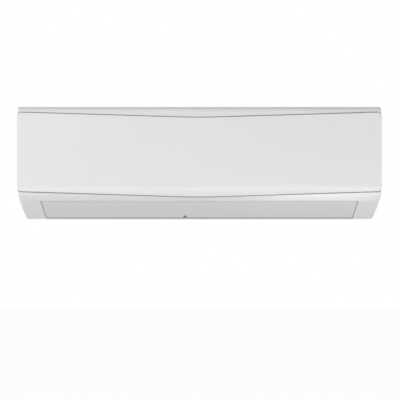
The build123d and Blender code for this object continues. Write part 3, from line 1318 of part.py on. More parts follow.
# ---- Small pieces behind the panel ----
def wire_cover():
    """Hatch over the terminals, in the casing's front, with tabs behind its edges."""
    right = hatch_right() - SEAT
    left = hatch_right() - HATCH_WIDTH + SEAT
    lid = block(left, right, INSIDE_FRONT, FRONT, HATCH_LOW + SEAT, HATCH_HIGH - SEAT)
    back = INSIDE_FRONT - SEAT
    middle = (left + right) / 2
    lid += block(middle - 16, middle + 16, back - 2, back + 1, HATCH_LOW + 2, HATCH_HIGH - 2)
    for edge in (HATCH_LOW, HATCH_HIGH):
        lid += block(middle - 16, middle + 16, back - 2, back, edge - 4, edge + 4)
    return lid


def receiver_board():
    """Small board on posts behind the casing's front, with the manual button's switch."""
    x = END - BUTTON_INSET
    front = INSIDE_FRONT - POST_LENGTH
    board = block(x - 16, x + 16, front - BOARD, front, BUTTON_HEIGHT - 12, BUTTON_HEIGHT + 18)
    board += block(x - 3, x + 3, front, front + SWITCH_HEIGHT, BUTTON_HEIGHT - 3, BUTTON_HEIGHT + 3)
    return board


def aux_button():
    """Manual button with a collar behind the casing's front."""
    x = END - BUTTON_INSET
    back = INSIDE_FRONT - POST_LENGTH + SWITCH_HEIGHT + SEAT + BUTTON_TRAVEL
    stem = outward_bar(x, BUTTON_HEIGHT, back, FRONT + 0.2, BUTTON_RADIUS)
    face = INSIDE_FRONT - SEAT
    return stem + outward_bar(x, BUTTON_HEIGHT, face - 1.6, face, BUTTON_RADIUS + 2)


# ---- Screws ----
def frame_screws():
    """Screws that hold the casing to the drain pan, sunk in its front behind the panel."""
    screws = []
    for x in frame_screw_places():
        root = FRONT - SCREW_HEAD
        screw = outward_bar(x, FRAME_SCREW_HEIGHT, root, FRONT, SCREW_HEAD_RADIUS)
        screws.append(screw + outward_bar(x, FRAME_SCREW_HEIGHT, root - SCREW_LENGTH, root, SCREW_RADIUS))
    return Compound(children=screws)


def clamp_screws():
    """Screws of the motor clamp."""
    root = FAN_FROM_WALL + STRAP
    screws = []
    for x in cradle_stations():
        place = (x + CRADLE_WEB / 2, clamp_ear_height())
        screw = outward_bar(*place, root, root + 1.5, SMALL_SCREW_HEAD_RADIUS)
        tip = root - STRAP - SMALL_SCREW_LENGTH
        screws.append(screw + outward_bar(*place, tip, root, SMALL_SCREW_RADIUS))
    return Compound(children=screws)


def louver_motor_screws():
    """Screws of the louver motor."""
    face = MOUTH_END + SEAT + END_WALL + SHEET
    screws = []
    for u in stepper_ears():
        place = (u, STEPPER_AXIS[1])
        screw = rod(face, face + 1.5, place, SMALL_SCREW_HEAD_RADIUS)
        screws.append(screw + rod(face - SHEET - END_WALL, face, place, SMALL_SCREW_RADIUS))
    return Compound(children=screws)


# ---- The whole unit ----
def unit_parts():
    """Every sub-part under its name."""
    gas_line = (GAS_FROM_WALL, GAS_RUN_HEIGHT)
    liquid_line = (LIQUID_FROM_WALL, LIQUID_RUN_HEIGHT)
    parts = {
        "mounting_plate": mounting_plate(),
        "chassis": chassis(),
        "duct_end_left": duct_end_left(),
        "duct_end_right": duct_end_right(),
        "drain_pan": drain_pan(),
        "drain_plug": drain_plug(),
        "front_frame": front_frame(),
        "front_panel": front_panel(),
        "evaporator_plate_left": across(end_plate_outline(), FIN_LEFT - END_PLATE, FIN_LEFT),
        "evaporator_plate_right": across(end_plate_outline(), FIN_RIGHT, FIN_RIGHT + END_PLATE),
        "return_bends": return_bends(),
        "coil_sensor": coil_sensor(),
        "gas_pipe": pipe(GAS_RADIUS, *gas_line),
        "liquid_pipe": pipe(LIQUID_RADIUS, *liquid_line),
        "gas_flare_nut": flare_nut(gas_line, GAS_NUT_FLATS, GAS_RADIUS, GAS_THREAD_RADIUS),
        "liquid_flare_nut": flare_nut(liquid_line, LIQUID_NUT_FLATS, LIQUID_RADIUS, LIQUID_THREAD_RADIUS),
        "pipe_clamp": pipe_clamp(),
        "fan_wheel": fan_wheel(),
        "motor_shaft": motor_shaft(),
        "fan_bearing": fan_bearing(),
        "fan_motor": fan_motor(),
        "motor_clamp": motor_clamp(),
        "clamp_screws": clamp_screws(),
        "louver": louver(),
        "louver_bearing": louver_bearing(),
        "louver_motor": louver_motor(),
        "louver_motor_screws": louver_motor_screws(),
        "electrical_box": electrical_box(),
        "electrical_box_cover": box_cover(),
        "control_board": control_board(),
        "terminal_block": terminal_block(),
        "wire_cover": wire_cover(),
        "receiver_board": receiver_board(),
        "aux_button": aux_button(),
        "frame_screws": frame_screws(),
    }
    for name, section in fin_sections().items():
        parts[name] = across(section, FIN_LEFT, FIN_RIGHT)
    for name, hand in (("left", -1), ("right", 1)):
        parts[f"filter_frame_{name}"] = filter_frame(hand)
        parts[f"filter_mesh_{name}"] = filter_mesh(hand)
    for number, station in enumerate(vane_stations(), start=1):
        parts[f"vane_{number}"] = vane(station)
    parts["vane_rod_left"] = link_rod(vane_stations()[:VANES_IN_GROUP])
    parts["vane_rod_right"] = link_rod(vane_stations()[VANES_IN_GROUP:])
    return parts


os.makedirs("parts", exist_ok=True)
for part_name, solid in unit_parts().items():
    export_step(solid, f"parts/{part_name}.step")
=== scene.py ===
import json
from math import atan2, cos, pi, radians, sin, tau

import bmesh
import bpy
from mathutils import Matrix, Vector
from mathutils.bvhtree import BVHTree

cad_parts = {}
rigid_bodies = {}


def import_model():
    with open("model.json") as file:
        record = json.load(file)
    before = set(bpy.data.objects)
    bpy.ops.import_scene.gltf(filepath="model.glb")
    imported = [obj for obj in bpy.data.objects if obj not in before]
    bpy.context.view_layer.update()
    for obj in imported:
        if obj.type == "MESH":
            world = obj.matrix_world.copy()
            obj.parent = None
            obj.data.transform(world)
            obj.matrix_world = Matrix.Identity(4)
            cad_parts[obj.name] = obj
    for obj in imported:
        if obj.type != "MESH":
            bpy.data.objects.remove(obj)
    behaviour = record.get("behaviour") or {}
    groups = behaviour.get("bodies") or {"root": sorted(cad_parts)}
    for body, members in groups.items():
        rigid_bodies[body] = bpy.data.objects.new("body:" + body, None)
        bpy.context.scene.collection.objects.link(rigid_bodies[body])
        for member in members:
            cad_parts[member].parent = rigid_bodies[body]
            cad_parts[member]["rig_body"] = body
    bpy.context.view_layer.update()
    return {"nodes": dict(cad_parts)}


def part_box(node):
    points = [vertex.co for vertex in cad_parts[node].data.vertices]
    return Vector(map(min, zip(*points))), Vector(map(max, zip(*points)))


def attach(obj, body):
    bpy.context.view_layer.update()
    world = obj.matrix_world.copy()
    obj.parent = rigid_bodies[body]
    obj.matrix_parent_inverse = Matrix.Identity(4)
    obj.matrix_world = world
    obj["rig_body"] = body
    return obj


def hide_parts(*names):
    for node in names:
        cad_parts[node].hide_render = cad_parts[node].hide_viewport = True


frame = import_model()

nodes = frame["nodes"]


# ---- View, light and floor ----
# The unit hangs alone in a white studio and is seen straight on, a little above its
# underside, from two metres away. Broad soft lamps stand round it, the strongest far to the left;
# two at the lower right light no matt surface and only put soft gleams on chin and panel.
EYE = (0.0013, -2.185, -0.1044)
PIXELS_PER_METRE = 445.7
FRONT_DISTANCE = 2.0
SENSOR = 36.0
IMAGE_WIDTH = 400
ROOM_GLOW = 0.35
FLOOR_HEIGHT = -1.1
FLOOR_HALF = 6
FLOOR_SEEN_WHITE = 0.97
# Each lamp: its place, what it points at, its width and height, its watts, and whether it lights
# matt surfaces or shows only as a gleam on glossy ones.
LAMPS = {
    "left_lamp": ((-2.9, -2.8, 0.5), (0, -0.1, 0), (1.6, 1.6), 71, True),
    "right_lamp": ((2.4, -2.8, 0.5), (0, -0.1, 0), (1.6, 1.6), 2, True),
    "near_right_lamp": ((1.1, -1.2, -0.6), (0.2, -0.1, 0), (0.6, 0.6), 3.8, True),
    "low_lamp": ((0, -1.6, -1.0), (0, -0.1, 0), (1.6, 0.8), 3.6, True),
    "low_left_lamp": ((-1.2, -1.3, -0.9), (0, -0.1, 0), (0.8, 0.8), 1.1, True),
    "chin_gleam_lamp": ((0.38, -0.3, -0.98), (0.38, -0.1, 0), (0.34, 0.75), 3.4, False),
    "panel_gleam_lamp": ((0.5, -1.5, -0.45), (0.2, -0.1, -0.1), (1.0, 0.7), 1.8, False),
}


def linear(hex_colour):
    """An sRGB hex colour as the linear RGBA that shaders take."""
    channels = [int(hex_colour[i:i + 2], 16) / 255 for i in (1, 3, 5)]
    return [c / 12.92 if c <= 0.04045 else ((c + 0.055) / 1.055) ** 2.4 for c in channels] + [1.0]


def add(tree, kind, values=None, **settings):
    """Adds a node; a value that is another node's socket is linked."""
    node = tree.nodes.new(kind)
    for name, setting in settings.items():
        setattr(node, name, setting)
    for socket, value in (values or {}).items():
        if isinstance(value, bpy.types.NodeSocket):
            tree.links.new(value, node.inputs[socket])
        else:
            node.inputs[socket].default_value = value
    return node


def placed(name, data):
    """A new object at the origin, in the scene."""
    thing = bpy.data.objects.new(name, data)
    bpy.context.scene.collection.objects.link(thing)
    return thing


camera = placed("camera", bpy.data.cameras.new("camera"))
camera.data.sensor_width = SENSOR
camera.data.lens = SENSOR * PIXELS_PER_METRE * FRONT_DISTANCE / IMAGE_WIDTH
camera.data.clip_end = 50
camera.location = EYE
camera.rotation_euler = (pi / 2, 0, 0)
bpy.context.scene.camera = camera
bpy.context.scene.view_settings.view_transform = "Standard"


def seen_directly(tree):
    """1 for rays that show the background itself: the camera's, mirrored and refracted ones."""
    path = add(tree, "ShaderNodeLightPath")
    straight = {0: path.outputs["Is Camera Ray"], 1: path.outputs["Is Glossy Ray"]}
    mirrored = add(tree, "ShaderNodeMath", straight, operation="ADD")
    through = {0: mirrored.outputs[0], 1: path.outputs["Is Transmission Ray"]}
    return add(tree, "ShaderNodeMath", through, operation="ADD", use_clamp=True).outputs[0]


world = bpy.data.worlds.new("studio")
world.use_nodes = True
tree = world.node_tree
tree.nodes.clear()
room = add(tree, "ShaderNodeBackground", {"Color": linear("#FFFFFF"), "Strength": ROOM_GLOW})
backdrop = add(tree, "ShaderNodeBackground", {"Color": linear("#FFFFFF"), "Strength": 1.0})
shown = {0: seen_directly(tree), 1: room.outputs[0], 2: backdrop.outputs[0]}
mixed = add(tree, "ShaderNodeMixShader", shown)
add(tree, "ShaderNodeOutputWorld", {0: mixed.outputs[0]})
bpy.context.scene.world = world

for name, (place, target, (width, height), power, lights_matt) in LAMPS.items():
    lamp = placed(name, bpy.data.lights.new(name, "AREA"))
    lamp.data.shape = "RECTANGLE"
    lamp.data.size = width
    lamp.data.size_y = height
    lamp.data.energy = power
    lamp.location = place
    lamp.visible_camera = False
    lamp.visible_diffuse = lights_matt
    lamp.rotation_euler = (Vector(target) - Vector(place)).to_track_quat("-Z", "Y").to_euler()

floor_mesh = bpy.data.meshes.new("studio_floor")
signs = ((-1, -1), (1, -1), (1, 1), (-1, 1))
corners = [(x * FLOOR_HALF, y * FLOOR_HALF, FLOOR_HEIGHT) for x, y in signs]
floor_mesh.from_pydata(corners, [], [(0, 1, 2, 3)])
floor = placed("studio_floor", floor_mesh)
# Matt white paint; what is seen directly is all but pure white, so the floor runs into the backdrop.
floor_paint = bpy.data.materials.new("pale_floor_paint")
floor_paint.use_nodes = True
tree = floor_paint.node_tree
tree.nodes.clear()
matt = add(tree, "ShaderNodeBsdfDiffuse", {"Color": linear("#F4F4F4")})
glow = add(tree, "ShaderNodeEmission", {"Color": linear("#FFFFFF"), "Strength": 1.0})
share = add(tree, "ShaderNodeMath", {0: seen_directly(tree), 1: FLOOR_SEEN_WHITE}, operation="MULTIPLY")
mixed = add(tree, "ShaderNodeMixShader", {0: share.outputs[0], 1: matt.outputs[0], 2: glow.outputs[0]})
add(tree, "ShaderNodeOutputMaterial", {0: mixed.outputs[0]})
floor_mesh.materials.append(floor_paint)


# ---- Mounting plate ----
# The plate that is screwed to the wall and carries the unit on its hooks: 1.2 mm steel sheet,
# hot-dip galvanised, then punched and pressed. It stays hidden behind the chassis.
SPANGLE_MM = 9.0
DARKEST_SPANGLE = 0.72
SAME_POINT = 2e-6
FLAT_BELOW = radians(0.5)
SHARP_ABOVE = radians(35)
CREASE_REACH = 0.0003


def new_material(name):
    """A material with one Principled shader; returns it with its tree and its shader."""
    material = bpy.data.materials.new(name)
    material.use_nodes = True
    return material, material.node_tree, material.node_tree.nodes["Principled BSDF"]


def galvanised(name, colour):
    """Hot-dip zinc: large crystals that each turn the light a little differently."""
    material, tree, shader = new_material(name)
    shader.inputs["Metallic"].default_value = 1.0
    place = add(tree, "ShaderNodeTexCoord").outputs["Object"]
    crystal = add(tree, "ShaderNodeTexVoronoi", {"Vector": place, "Scale": 1000 / SPANGLE_MM})
    tone = add(tree, "ShaderNodeSeparateColor", {"Color": crystal.outputs["Color"]})
    base = linear(colour)
    darker = [c * DARKEST_SPANGLE for c in base[:3]] + [1.0]
    shade = add(tree, "ShaderNodeMix", {"Factor": tone.outputs[0], "A": base, "B": darker},
                data_type="RGBA")
    tree.links.new(shade.outputs["Result"], shader.inputs["Base Color"])
    polish = add(tree, "ShaderNodeMapRange", {"Value": tone.outputs[1], "To Min": 0.34, "To Max": 0.54})
    tree.links.new(polish.outputs[0], shader.inputs["Roughness"])
    return material


def made_real(piece):
    """Replaces the piece's mesh with what its modifiers make of it, and clears them."""
    first = piece.data
    seen = piece.evaluated_get(bpy.context.evaluated_depsgraph_get())
    made = bpy.data.meshes.new_from_object(seen)
    piece.modifiers.clear()
    piece.data = made
    bpy.data.meshes.remove(first)


def eased(name, material, radius=0.0, segments=2, crease=None):
    """A piece from its CAD node, shaded smooth, with its sharp edges eased by the radius in metres.

    A crease is the y and z of a blunt edge along the width that stays sharp."""
    source = nodes[name]
    mesh = source.data.copy()
    piece = placed(name + "_piece", mesh)
    shape = bmesh.new()
    shape.from_mesh(mesh)
    bmesh.ops.remove_doubles(shape, verts=shape.verts, dist=SAME_POINT)
    if radius:
        bmesh.ops.dissolve_limit(shape, angle_limit=FLAT_BELOW, verts=shape.verts, edges=shape.edges)
    for edge in shape.edges if crease else []:
        if all((Vector(crease) - end.co.yz).length < CREASE_REACH for end in edge.verts):
            edge.smooth = False
    shape.to_mesh(mesh)
    shape.free()
    mesh.materials.clear()
    mesh.materials.append(material)
    for face in mesh.polygons:
        face.material_index = 0
        face.use_smooth = True
    if radius:
        bevel = piece.modifiers.new("eased_edges", "BEVEL")
        bevel.width = radius
        bevel.segments = segments
        bevel.limit_method = "ANGLE"
        bevel.angle_limit = SHARP_ABOVE
        bevel.use_clamp_overlap = True
        weighted = piece.modifiers.new("flat_faces_stay_flat", "WEIGHTED_NORMAL")
        weighted.keep_sharp = True
        made_real(piece)
    else:
        mesh.set_sharp_from_angle(angle=SHARP_ABOVE)
    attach(piece, source["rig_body"])
    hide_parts(name)
    return piece


# Dull silver, broken into the large crystals of hot-dip zinc, some darker and some shinier.
zinc_sheet = galvanised("hot_dip_galvanised_steel", "#B4B8BB")
eased("mounting_plate", zinc_sheet, 0.0004)


# ---- Chassis ----
# The rear body: back, pipe channel, rear air guide, trough and motor bay in one moulding of
# grey-white polystyrene, with the fine spark-eroded grain of its mould.
GRAIN_STRENGTH = 0.25
COAT_ROUGHNESS = 0.12
SHADE_PATCHES_PER_METRE = 9.0
DEEPER_SHADE = 0.975
GLOSS_SPREAD = 0.03


def moulded(name, colour, roughness, grain_mm, grain_depth_mm, coat=0.0):
    """Moulded plastic: the grain or ripple of its mould, and faint changes of shade and gloss.

    A spark-eroded grain is about 0.2 mm in fact; it is drawn coarser, or no view would show it."""
    material, tree, shader = new_material(name)
    shader.inputs["IOR"].default_value = 1.5
    shader.inputs["Coat Weight"].default_value = coat
    shader.inputs["Coat Roughness"].default_value = COAT_ROUGHNESS
    place = add(tree, "ShaderNodeTexCoord").outputs["Object"]
    grain = add(tree, "ShaderNodeTexNoise", {"Vector": place, "Scale": 1000 / grain_mm, "Detail": 3.0})
    depth = {"Height": grain.outputs["Fac"], "Strength": GRAIN_STRENGTH,
             "Distance": grain_depth_mm / 1000}
    bump = add(tree, "ShaderNodeBump", depth)
    tree.links.new(bump.outputs[0], shader.inputs["Normal"])
    patches = {"Vector": place, "Scale": SHADE_PATCHES_PER_METRE, "Detail": 2.0}
    drift = add(tree, "ShaderNodeTexNoise", patches)
    base = linear(colour)
    deeper = [c * DEEPER_SHADE for c in base[:3]] + [1.0]
    shade = add(tree, "ShaderNodeMix", {"Factor": drift.outputs["Fac"], "A": base, "B": deeper},
                data_type="RGBA")
    tree.links.new(shade.outputs["Result"], shader.inputs["Base Color"])
    spread = {"Value": grain.outputs["Fac"],
              "To Min": roughness - GLOSS_SPREAD, "To Max": roughness + GLOSS_SPREAD}
    tree.links.new(add(tree, "ShaderNodeMapRange", spread).outputs[0], shader.inputs["Roughness"])
    return material


# Grey-white and all but matt: the grain takes the shine off.
chassis_hips = moulded("grained_grey_white_polystyrene", "#D6D7D4", 0.48, 0.9, 0.015)
eased("chassis", chassis_hips, 0.0004)


# ---- Duct ends ----
# Two moulded walls that close the fan's duct; the right one flares out round the motor.
# They clip into the chassis and are the same polystyrene.
eased("duct_end_left", chassis_hips, 0.0003)
eased("duct_end_right", chassis_hips, 0.0003)


# ---- Evaporator ----
# Three banks of thin aluminium fins pressed onto copper tubes, held between two galvanised
# plates. The fins are punched from coated foil, so they are dull grey and all but touch. The foil
# is drawn thicker than the real 0.1 mm and the fins farther apart than 1.3 mm, to save faces.
FIN_PITCH = 0.0016
FIN_SHEET = 0.00025
FIN_FOLDS = 6
FIN_WAVE = 0.0012
FIN_BANKS = ("evaporator_front", "evaporator_top", "evaporator_rear")
TUBE_RADIUS = 0.0035
TUBE_SPREAD = 0.010
UNDERSIDE = -0.150
TARNISH = 0.84
POLISH_SPREAD = 0.08
# The middle of each pair of tubes, as metres from the wall and above the underside, with the
# direction from one tube of the pair to the other.
TUBE_PAIRS = {
    (0.1460, 0.1350): (0.0, -1.0), (0.1460, 0.1010): (0.0, -1.0),
    (0.1118, 0.2025): (0.6884, -0.7254), (0.1358, 0.1772): (0.6884, -0.7254),
    (0.0689, 0.2033): (-0.6882, -0.7256), (0.0462, 0.1793): (-0.6882, -0.7256),
}


def worked_metal(name, colour, roughness, mottle_mm):
    """Bare or plated metal as drawn, forged or rolled, with uneven polish and light tarnish."""
    material, tree, shader = new_material(name)
    shader.inputs["Metallic"].default_value = 1.0
    place = add(tree, "ShaderNodeTexCoord").outputs["Object"]
    cloud = add(tree, "ShaderNodeTexNoise", {"Vector": place, "Scale": 1000 / mottle_mm, "Detail": 4.0})
    spread = {"Value": cloud.outputs["Fac"],
              "To Min": roughness - POLISH_SPREAD, "To Max": roughness + POLISH_SPREAD}
    tree.links.new(add(tree, "ShaderNodeMapRange", spread).outputs[0], shader.inputs["Roughness"])
    base = linear(colour)
    tarnished = [c * TARNISH for c in base[:3]] + [1.0]
    tarnish = add(tree, "ShaderNodeMix", {"Factor": cloud.outputs["Fac"], "A": base, "B": tarnished},
                  data_type="RGBA")
    tree.links.new(tarnish.outputs["Result"], shader.inputs["Base Color"])
    return material


def growth_tree(name, inputs):
    """A Geometry Nodes tree with a geometry and the named inputs; returns it and their sockets."""
    tree = bpy.data.node_groups.new(name, "GeometryNodeTree")
    tree.interface.new_socket("Geometry", in_out="INPUT", socket_type="NodeSocketGeometry")
    for label, kind in inputs.items():
        tree.interface.new_socket(label, in_out="INPUT", socket_type="NodeSocket" + kind)
    tree.interface.new_socket("Geometry", in_out="OUTPUT", socket_type="NodeSocketGeometry")
    return tree, tree.nodes.new("NodeGroupInput").outputs


def close_tree(tree, instances, material):
    """Ends a tree: its instances are made real and take their material."""
    real = add(tree, "GeometryNodeRealizeInstances", {"Geometry": instances})
    coloured = add(tree, "GeometryNodeSetMaterial", {"Geometry": real.outputs[0], "Material": material})
    add(tree, "NodeGroupOutput", {"Geometry": coloured.outputs[0]})


def grown(name, mesh, tree, values):
    """An object whose mesh is what the tree makes of the mesh given."""
    piece = placed(name, mesh)
    growth = piece.modifiers.new("growth", "NODES")
    growth.node_group = tree
    for item in tree.interface.items_tree:
        if item.item_type == "SOCKET" and item.name in values:
            growth[item.identifier] = values[item.name]
    made_real(piece)
    return piece


def one_fin(name):
    """The first fin of a bank, as large as the end of its CAD solid, folded in waves over its depth."""
    source = nodes[name].data
    left = min(v.co.x for v in source.vertices)
    near_end = [v.co for v in source.vertices if v.co.x < left + FIN_SHEET]
    ends = {(round(spot.y, 5), round(spot.z, 5)) for spot in near_end}
    middle = [sum(end[i] for end in ends) / len(ends) for i in (0, 1)]
    in_turn = sorted(ends, key=lambda end: atan2(end[1] - middle[1], end[0] - middle[0]))
    ring = [Vector(end) for end in in_turn]
    if (ring[1] - ring[0]).length > (ring[2] - ring[1]).length:
        ring = ring[1:] + ring[:1]
    shape = bmesh.new()
    rows = []
    for fold in range(FIN_FOLDS + 1):
        part = fold / FIN_FOLDS
        x = left + FIN_WAVE * (fold % 2)
        spots = ring[0].lerp(ring[1], part), ring[3].lerp(ring[2], part)
        rows.append([shape.verts.new((x, *spot)) for spot in spots])
    sheet = [shape.faces.new((a[0], b[0], b[1], a[1])) for a, b in zip(rows, rows[1:])]
    drawn = bmesh.ops.extrude_face_region(shape, geom=sheet)["geom"]
    far_side = [v for v in drawn if isinstance(v, bmesh.types.BMVert)]
    bmesh.ops.translate(shape, vec=(FIN_SHEET, 0, 0), verts=far_side)
    bmesh.ops.recalc_face_normals(shape, faces=shape.faces)
    mesh = bpy.data.meshes.new(name + "_fin")
    shape.to_mesh(mesh)
    shape.free()
    return mesh


fin_tree, given = growth_tree("fin_bank", {"Count": "Int", "Pitch": "Vector", "Material": "Material"})
line = {"Count": given["Count"], "Offset": given["Pitch"]}
stations = add(fin_tree, "GeometryNodeMeshLine", line, mode="OFFSET")
fins = add(fin_tree, "GeometryNodeInstanceOnPoints",
           {"Points": stations.outputs[0], "Instance": given["Geometry"]})
close_tree(fin_tree, fins.outputs[0], given["Material"])

# Dull, slightly blue silver: the coating takes the mirror out of the foil.
fin_foil = worked_metal("coated_aluminium_foil", "#D6DDE0", 0.48, 5.0)
left_end, right_end = (corner.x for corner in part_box("evaporator_front"))
fin_count = int((right_end - left_end - FIN_SHEET - FIN_WAVE) / FIN_PITCH) + 1
for bank in FIN_BANKS:
    values = {"Count": fin_count, "Pitch": (FIN_PITCH, 0, 0), "Material": fin_foil}
    piece = grown(bank + "_fins", one_fin(bank), fin_tree, values)
    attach(piece, "casing")
    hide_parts(bank)

tube_inputs = {"Length": "Vector", "Radius": "Float", "Material": "Material"}
tube_tree, given = growth_tree("tube_bank", tube_inputs)
run = add(tube_tree, "GeometryNodeCurvePrimitiveLine", {"End": given["Length"]})
ring = add(tube_tree, "GeometryNodeCurvePrimitiveCircle", {"Resolution": 12, "Radius": given["Radius"]})
swept = {"Curve": run.outputs[0], "Profile Curve": ring.outputs[0], "Fill Caps": True}
tube = add(tube_tree, "GeometryNodeCurveToMesh", swept)
tubes = add(tube_tree, "GeometryNodeInstanceOnPoints",
            {"Points": given["Geometry"], "Instance": tube.outputs[0]})
close_tree(tube_tree, tubes.outputs[0], given["Material"])

# Salmon-red metal, bright where it was drawn and duller in patches.
soft_copper = worked_metal("drawn_copper", "#C67D5E", 0.3, 14.0)
tube_ends = []
for (u, height), (along, down) in TUBE_PAIRS.items():
    for side in (-TUBE_SPREAD, TUBE_SPREAD):
        tube_ends.append((left_end, -(u + along * side), UNDERSIDE + height + down * side))
tube_mesh = bpy.data.meshes.new("tube_ends")
tube_mesh.from_pydata(tube_ends, [], [])
values = {"Length": (right_end - left_end, 0, 0), "Radius": TUBE_RADIUS, "Material": soft_copper}
tubes = grown("evaporator_tubes", tube_mesh, tube_tree, values)
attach(tubes, "casing")
for name in ("evaporator_plate_left", "evaporator_plate_right"):
    eased(name, zinc_sheet, 0.0002)
for name in ("return_bends", "coil_sensor"):
    eased(name, soft_copper)


# ---- Pipes and unions ----
# Two bare copper pipes run from the evaporator down and along the channel to the left, and end
# in forged brass flare nuts; a plastic clamp ties them to the chassis.
eased("gas_pipe", soft_copper)
eased("liquid_pipe", soft_copper)
# Yellow metal with a short mottle from forging.
forged_brass = worked_metal("forged_brass", "#C9A65E", 0.33, 3.0)
eased("gas_flare_nut", forged_brass, 0.0005)
eased("liquid_flare_nut", forged_brass, 0.0004)
eased("pipe_clamp", chassis_hips, 0.0004)


# ---- Cross-flow fan ----
# A long wheel of forward-leaning blades between discs, moulded in glass-filled AS and welded
# disc to disc; a rubber bearing holds its left end and the motor's steel shaft its right end.
# Near-black with a soft sheen; dead matt black; bright silver with a fine mottle.
fan_as = moulded("glass_filled_as", "#2B2D30", 0.40, 0.6, 0.03)
bearing_rubber = moulded("epdm_rubber", "#1B1B1B", 0.78, 0.6, 0.03)
turned_steel = worked_metal("zinc_plated_steel", "#B9BBBD", 0.28, 2.0)
eased("fan_bearing", bearing_rubber, 0.0004)
eased("fan_wheel", fan_as)
eased("motor_shaft", turned_steel, 0.0003)


# ---- Fan motor and its clamp ----
# A sealed motor cast in mineral-filled compound, stone grey with a speckle, held down by a
# moulded strap with two small cross-head screws.
# Stone grey and matt, with the pits of a filled compound.
motor_compound = moulded("bulk_moulding_compound", "#B9B7AF", 0.6, 1.4, 0.05)
eased("fan_motor", motor_compound, 0.0012, 3)
eased("motor_clamp", chassis_hips, 0.0004)


def cross_head_screw(name, head_radius, head_height, shank_radius, length):
    """A pan-head screw that points up: crowned head with a cross recess, and a ridged shank.

    The bare numbers are shares of the sizes given, as such screws have them."""
    shape = bmesh.new()
    sides = 24

    def ring(radius, height):
        """One ring of the screw."""
        turns = [tau * i / sides for i in range(sides)]
        return [shape.verts.new((radius * cos(turn), radius * sin(turn), height)) for turn in turns]

    def wall(lower, upper):
        """Faces between two rings."""
        for i in range(sides):
            j = (i + 1) % sides
            shape.faces.new((lower[i], lower[j], upper[j], upper[i]))

    pitch = shank_radius * 0.75
    tip = shape.verts.new((0, 0, -length))
    rings = [ring(shank_radius * 0.45, -length + shank_radius)]
    ridges = int((length - shank_radius) / pitch)
    for i in range(ridges):
        height = -length + shank_radius + pitch * i
        rings.append(ring(shank_radius * 0.76, height + pitch * 0.2))
        rings.append(ring(shank_radius, height + pitch * 0.6))
    head = ((shank_radius * 0.8, 0.0), (head_radius, 0.0), (head_radius, head_height * 0.45),
            (head_radius * 0.9, head_height * 0.85), (head_radius * 0.7, head_height))
    rings += [ring(radius, height) for radius, height in head]
    for i in range(sides):
        shape.faces.new((tip, rings[0][(i + 1) % sides], rings[0][i]))
    for lower, upper in zip(rings, rings[1:]):
        wall(lower, upper)
    reach, width = head_radius * 0.5, head_radius * 0.13
    arm = [(reach, -width), (reach, width), (width, width)]
    cross = []
    for a in (0, pi / 2, pi, 3 * pi / 2):
        cross += [(x * cos(a) - y * sin(a), x * sin(a) + y * cos(a)) for x, y in arm]
    rim = [shape.verts.new((x, y, head_height)) for x, y in cross]
    floor_of = [shape.verts.new((x * 0.55, y * 0.7, head_height * 0.25)) for x, y in cross]
    edges = [shape.edges.new((rim[i], rim[(i + 1) % 12])) for i in range(12)]
    edges += [shape.edges.get((rings[-1][i], rings[-1][(i + 1) % sides])) for i in range(sides)]
    bmesh.ops.triangle_fill(shape, use_beauty=True, edges=edges)
    for i in range(12):
        j = (i + 1) % 12
        shape.faces.new((rim[i], rim[j], floor_of[j], floor_of[i]))
    shape.faces.new(floor_of)
    bmesh.ops.recalc_face_normals(shape, faces=shape.faces)
    mesh = bpy.data.meshes.new(name)
    shape.to_mesh(mesh)
    shape.free()
    return placed(name, mesh)


screw_inputs = {"Screw": "Object", "Turn": "Rotation", "Material": "Material"}
screw_tree, given = growth_tree("screw_set", screw_inputs)
pattern = add(screw_tree, "GeometryNodeObjectInfo", {"Object": given["Screw"]})
places = {"Points": given["Geometry"], "Instance": pattern.outputs["Geometry"],
          "Rotation": given["Turn"]}
screws = add(screw_tree, "GeometryNodeInstanceOnPoints", places)
close_tree(screw_tree, screws.outputs[0], given["Material"])


def screw_set(name, screw, places, turn, node=None):
    """Screws of one kind at the places of their necks, turned one way; they may stand for a node."""
    mesh = bpy.data.meshes.new(name + "_places")
    mesh.from_pydata(places, [], [])
    piece = grown(name, mesh, screw_tree, {"Screw": screw, "Turn": turn, "Material": turned_steel})
    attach(piece, "casing")
    if node:
        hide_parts(node)


# Screws are given by head radius, head height, shank radius and length.
TOWARDS_ROOM = (pi / 2, 0, 0)
TOWARDS_RIGHT = (0, pi / 2, 0)
small_screw = cross_head_screw("small_screw", 0.0024, 0.0015, 0.0011, 0.0075)
clamp_places = [(0.2985, -0.0905, UNDERSIDE + 0.1475), (0.3175, -0.0905, UNDERSIDE + 0.1475)]
screw_set("motor_clamp_screws", small_screw, clamp_places, TOWARDS_ROOM, "clamp_screws")


# ---- Drain pan ----
# The tray under the front fins, in one piece with the tongue of the fan's duct and with a
# spigot at each end; grey-white polystyrene. A rubber cap closes the spare spigot.
eased("drain_pan", chassis_hips, 0.0004)
eased("drain_plug", bearing_rubber, 0.0005)


# ---- Upright vanes and their link rods ----
# Twelve thin vanes in the outlet turn the air left and right, six to a rod. Vanes and rods are
# natural acetal, a smoother and slightly warmer white than the moulding round them.
# A warmer white than the casing, with a soft waxy shine.
vane_acetal = moulded("natural_acetal", "#DAD9D3", 0.36, 1.5, 0.01)
for number in range(1, 13):
    eased(f"vane_{number}", vane_acetal, 0.0003)
for side in ("left", "right"):
    eased(f"vane_rod_{side}", vane_acetal, 0.0003)


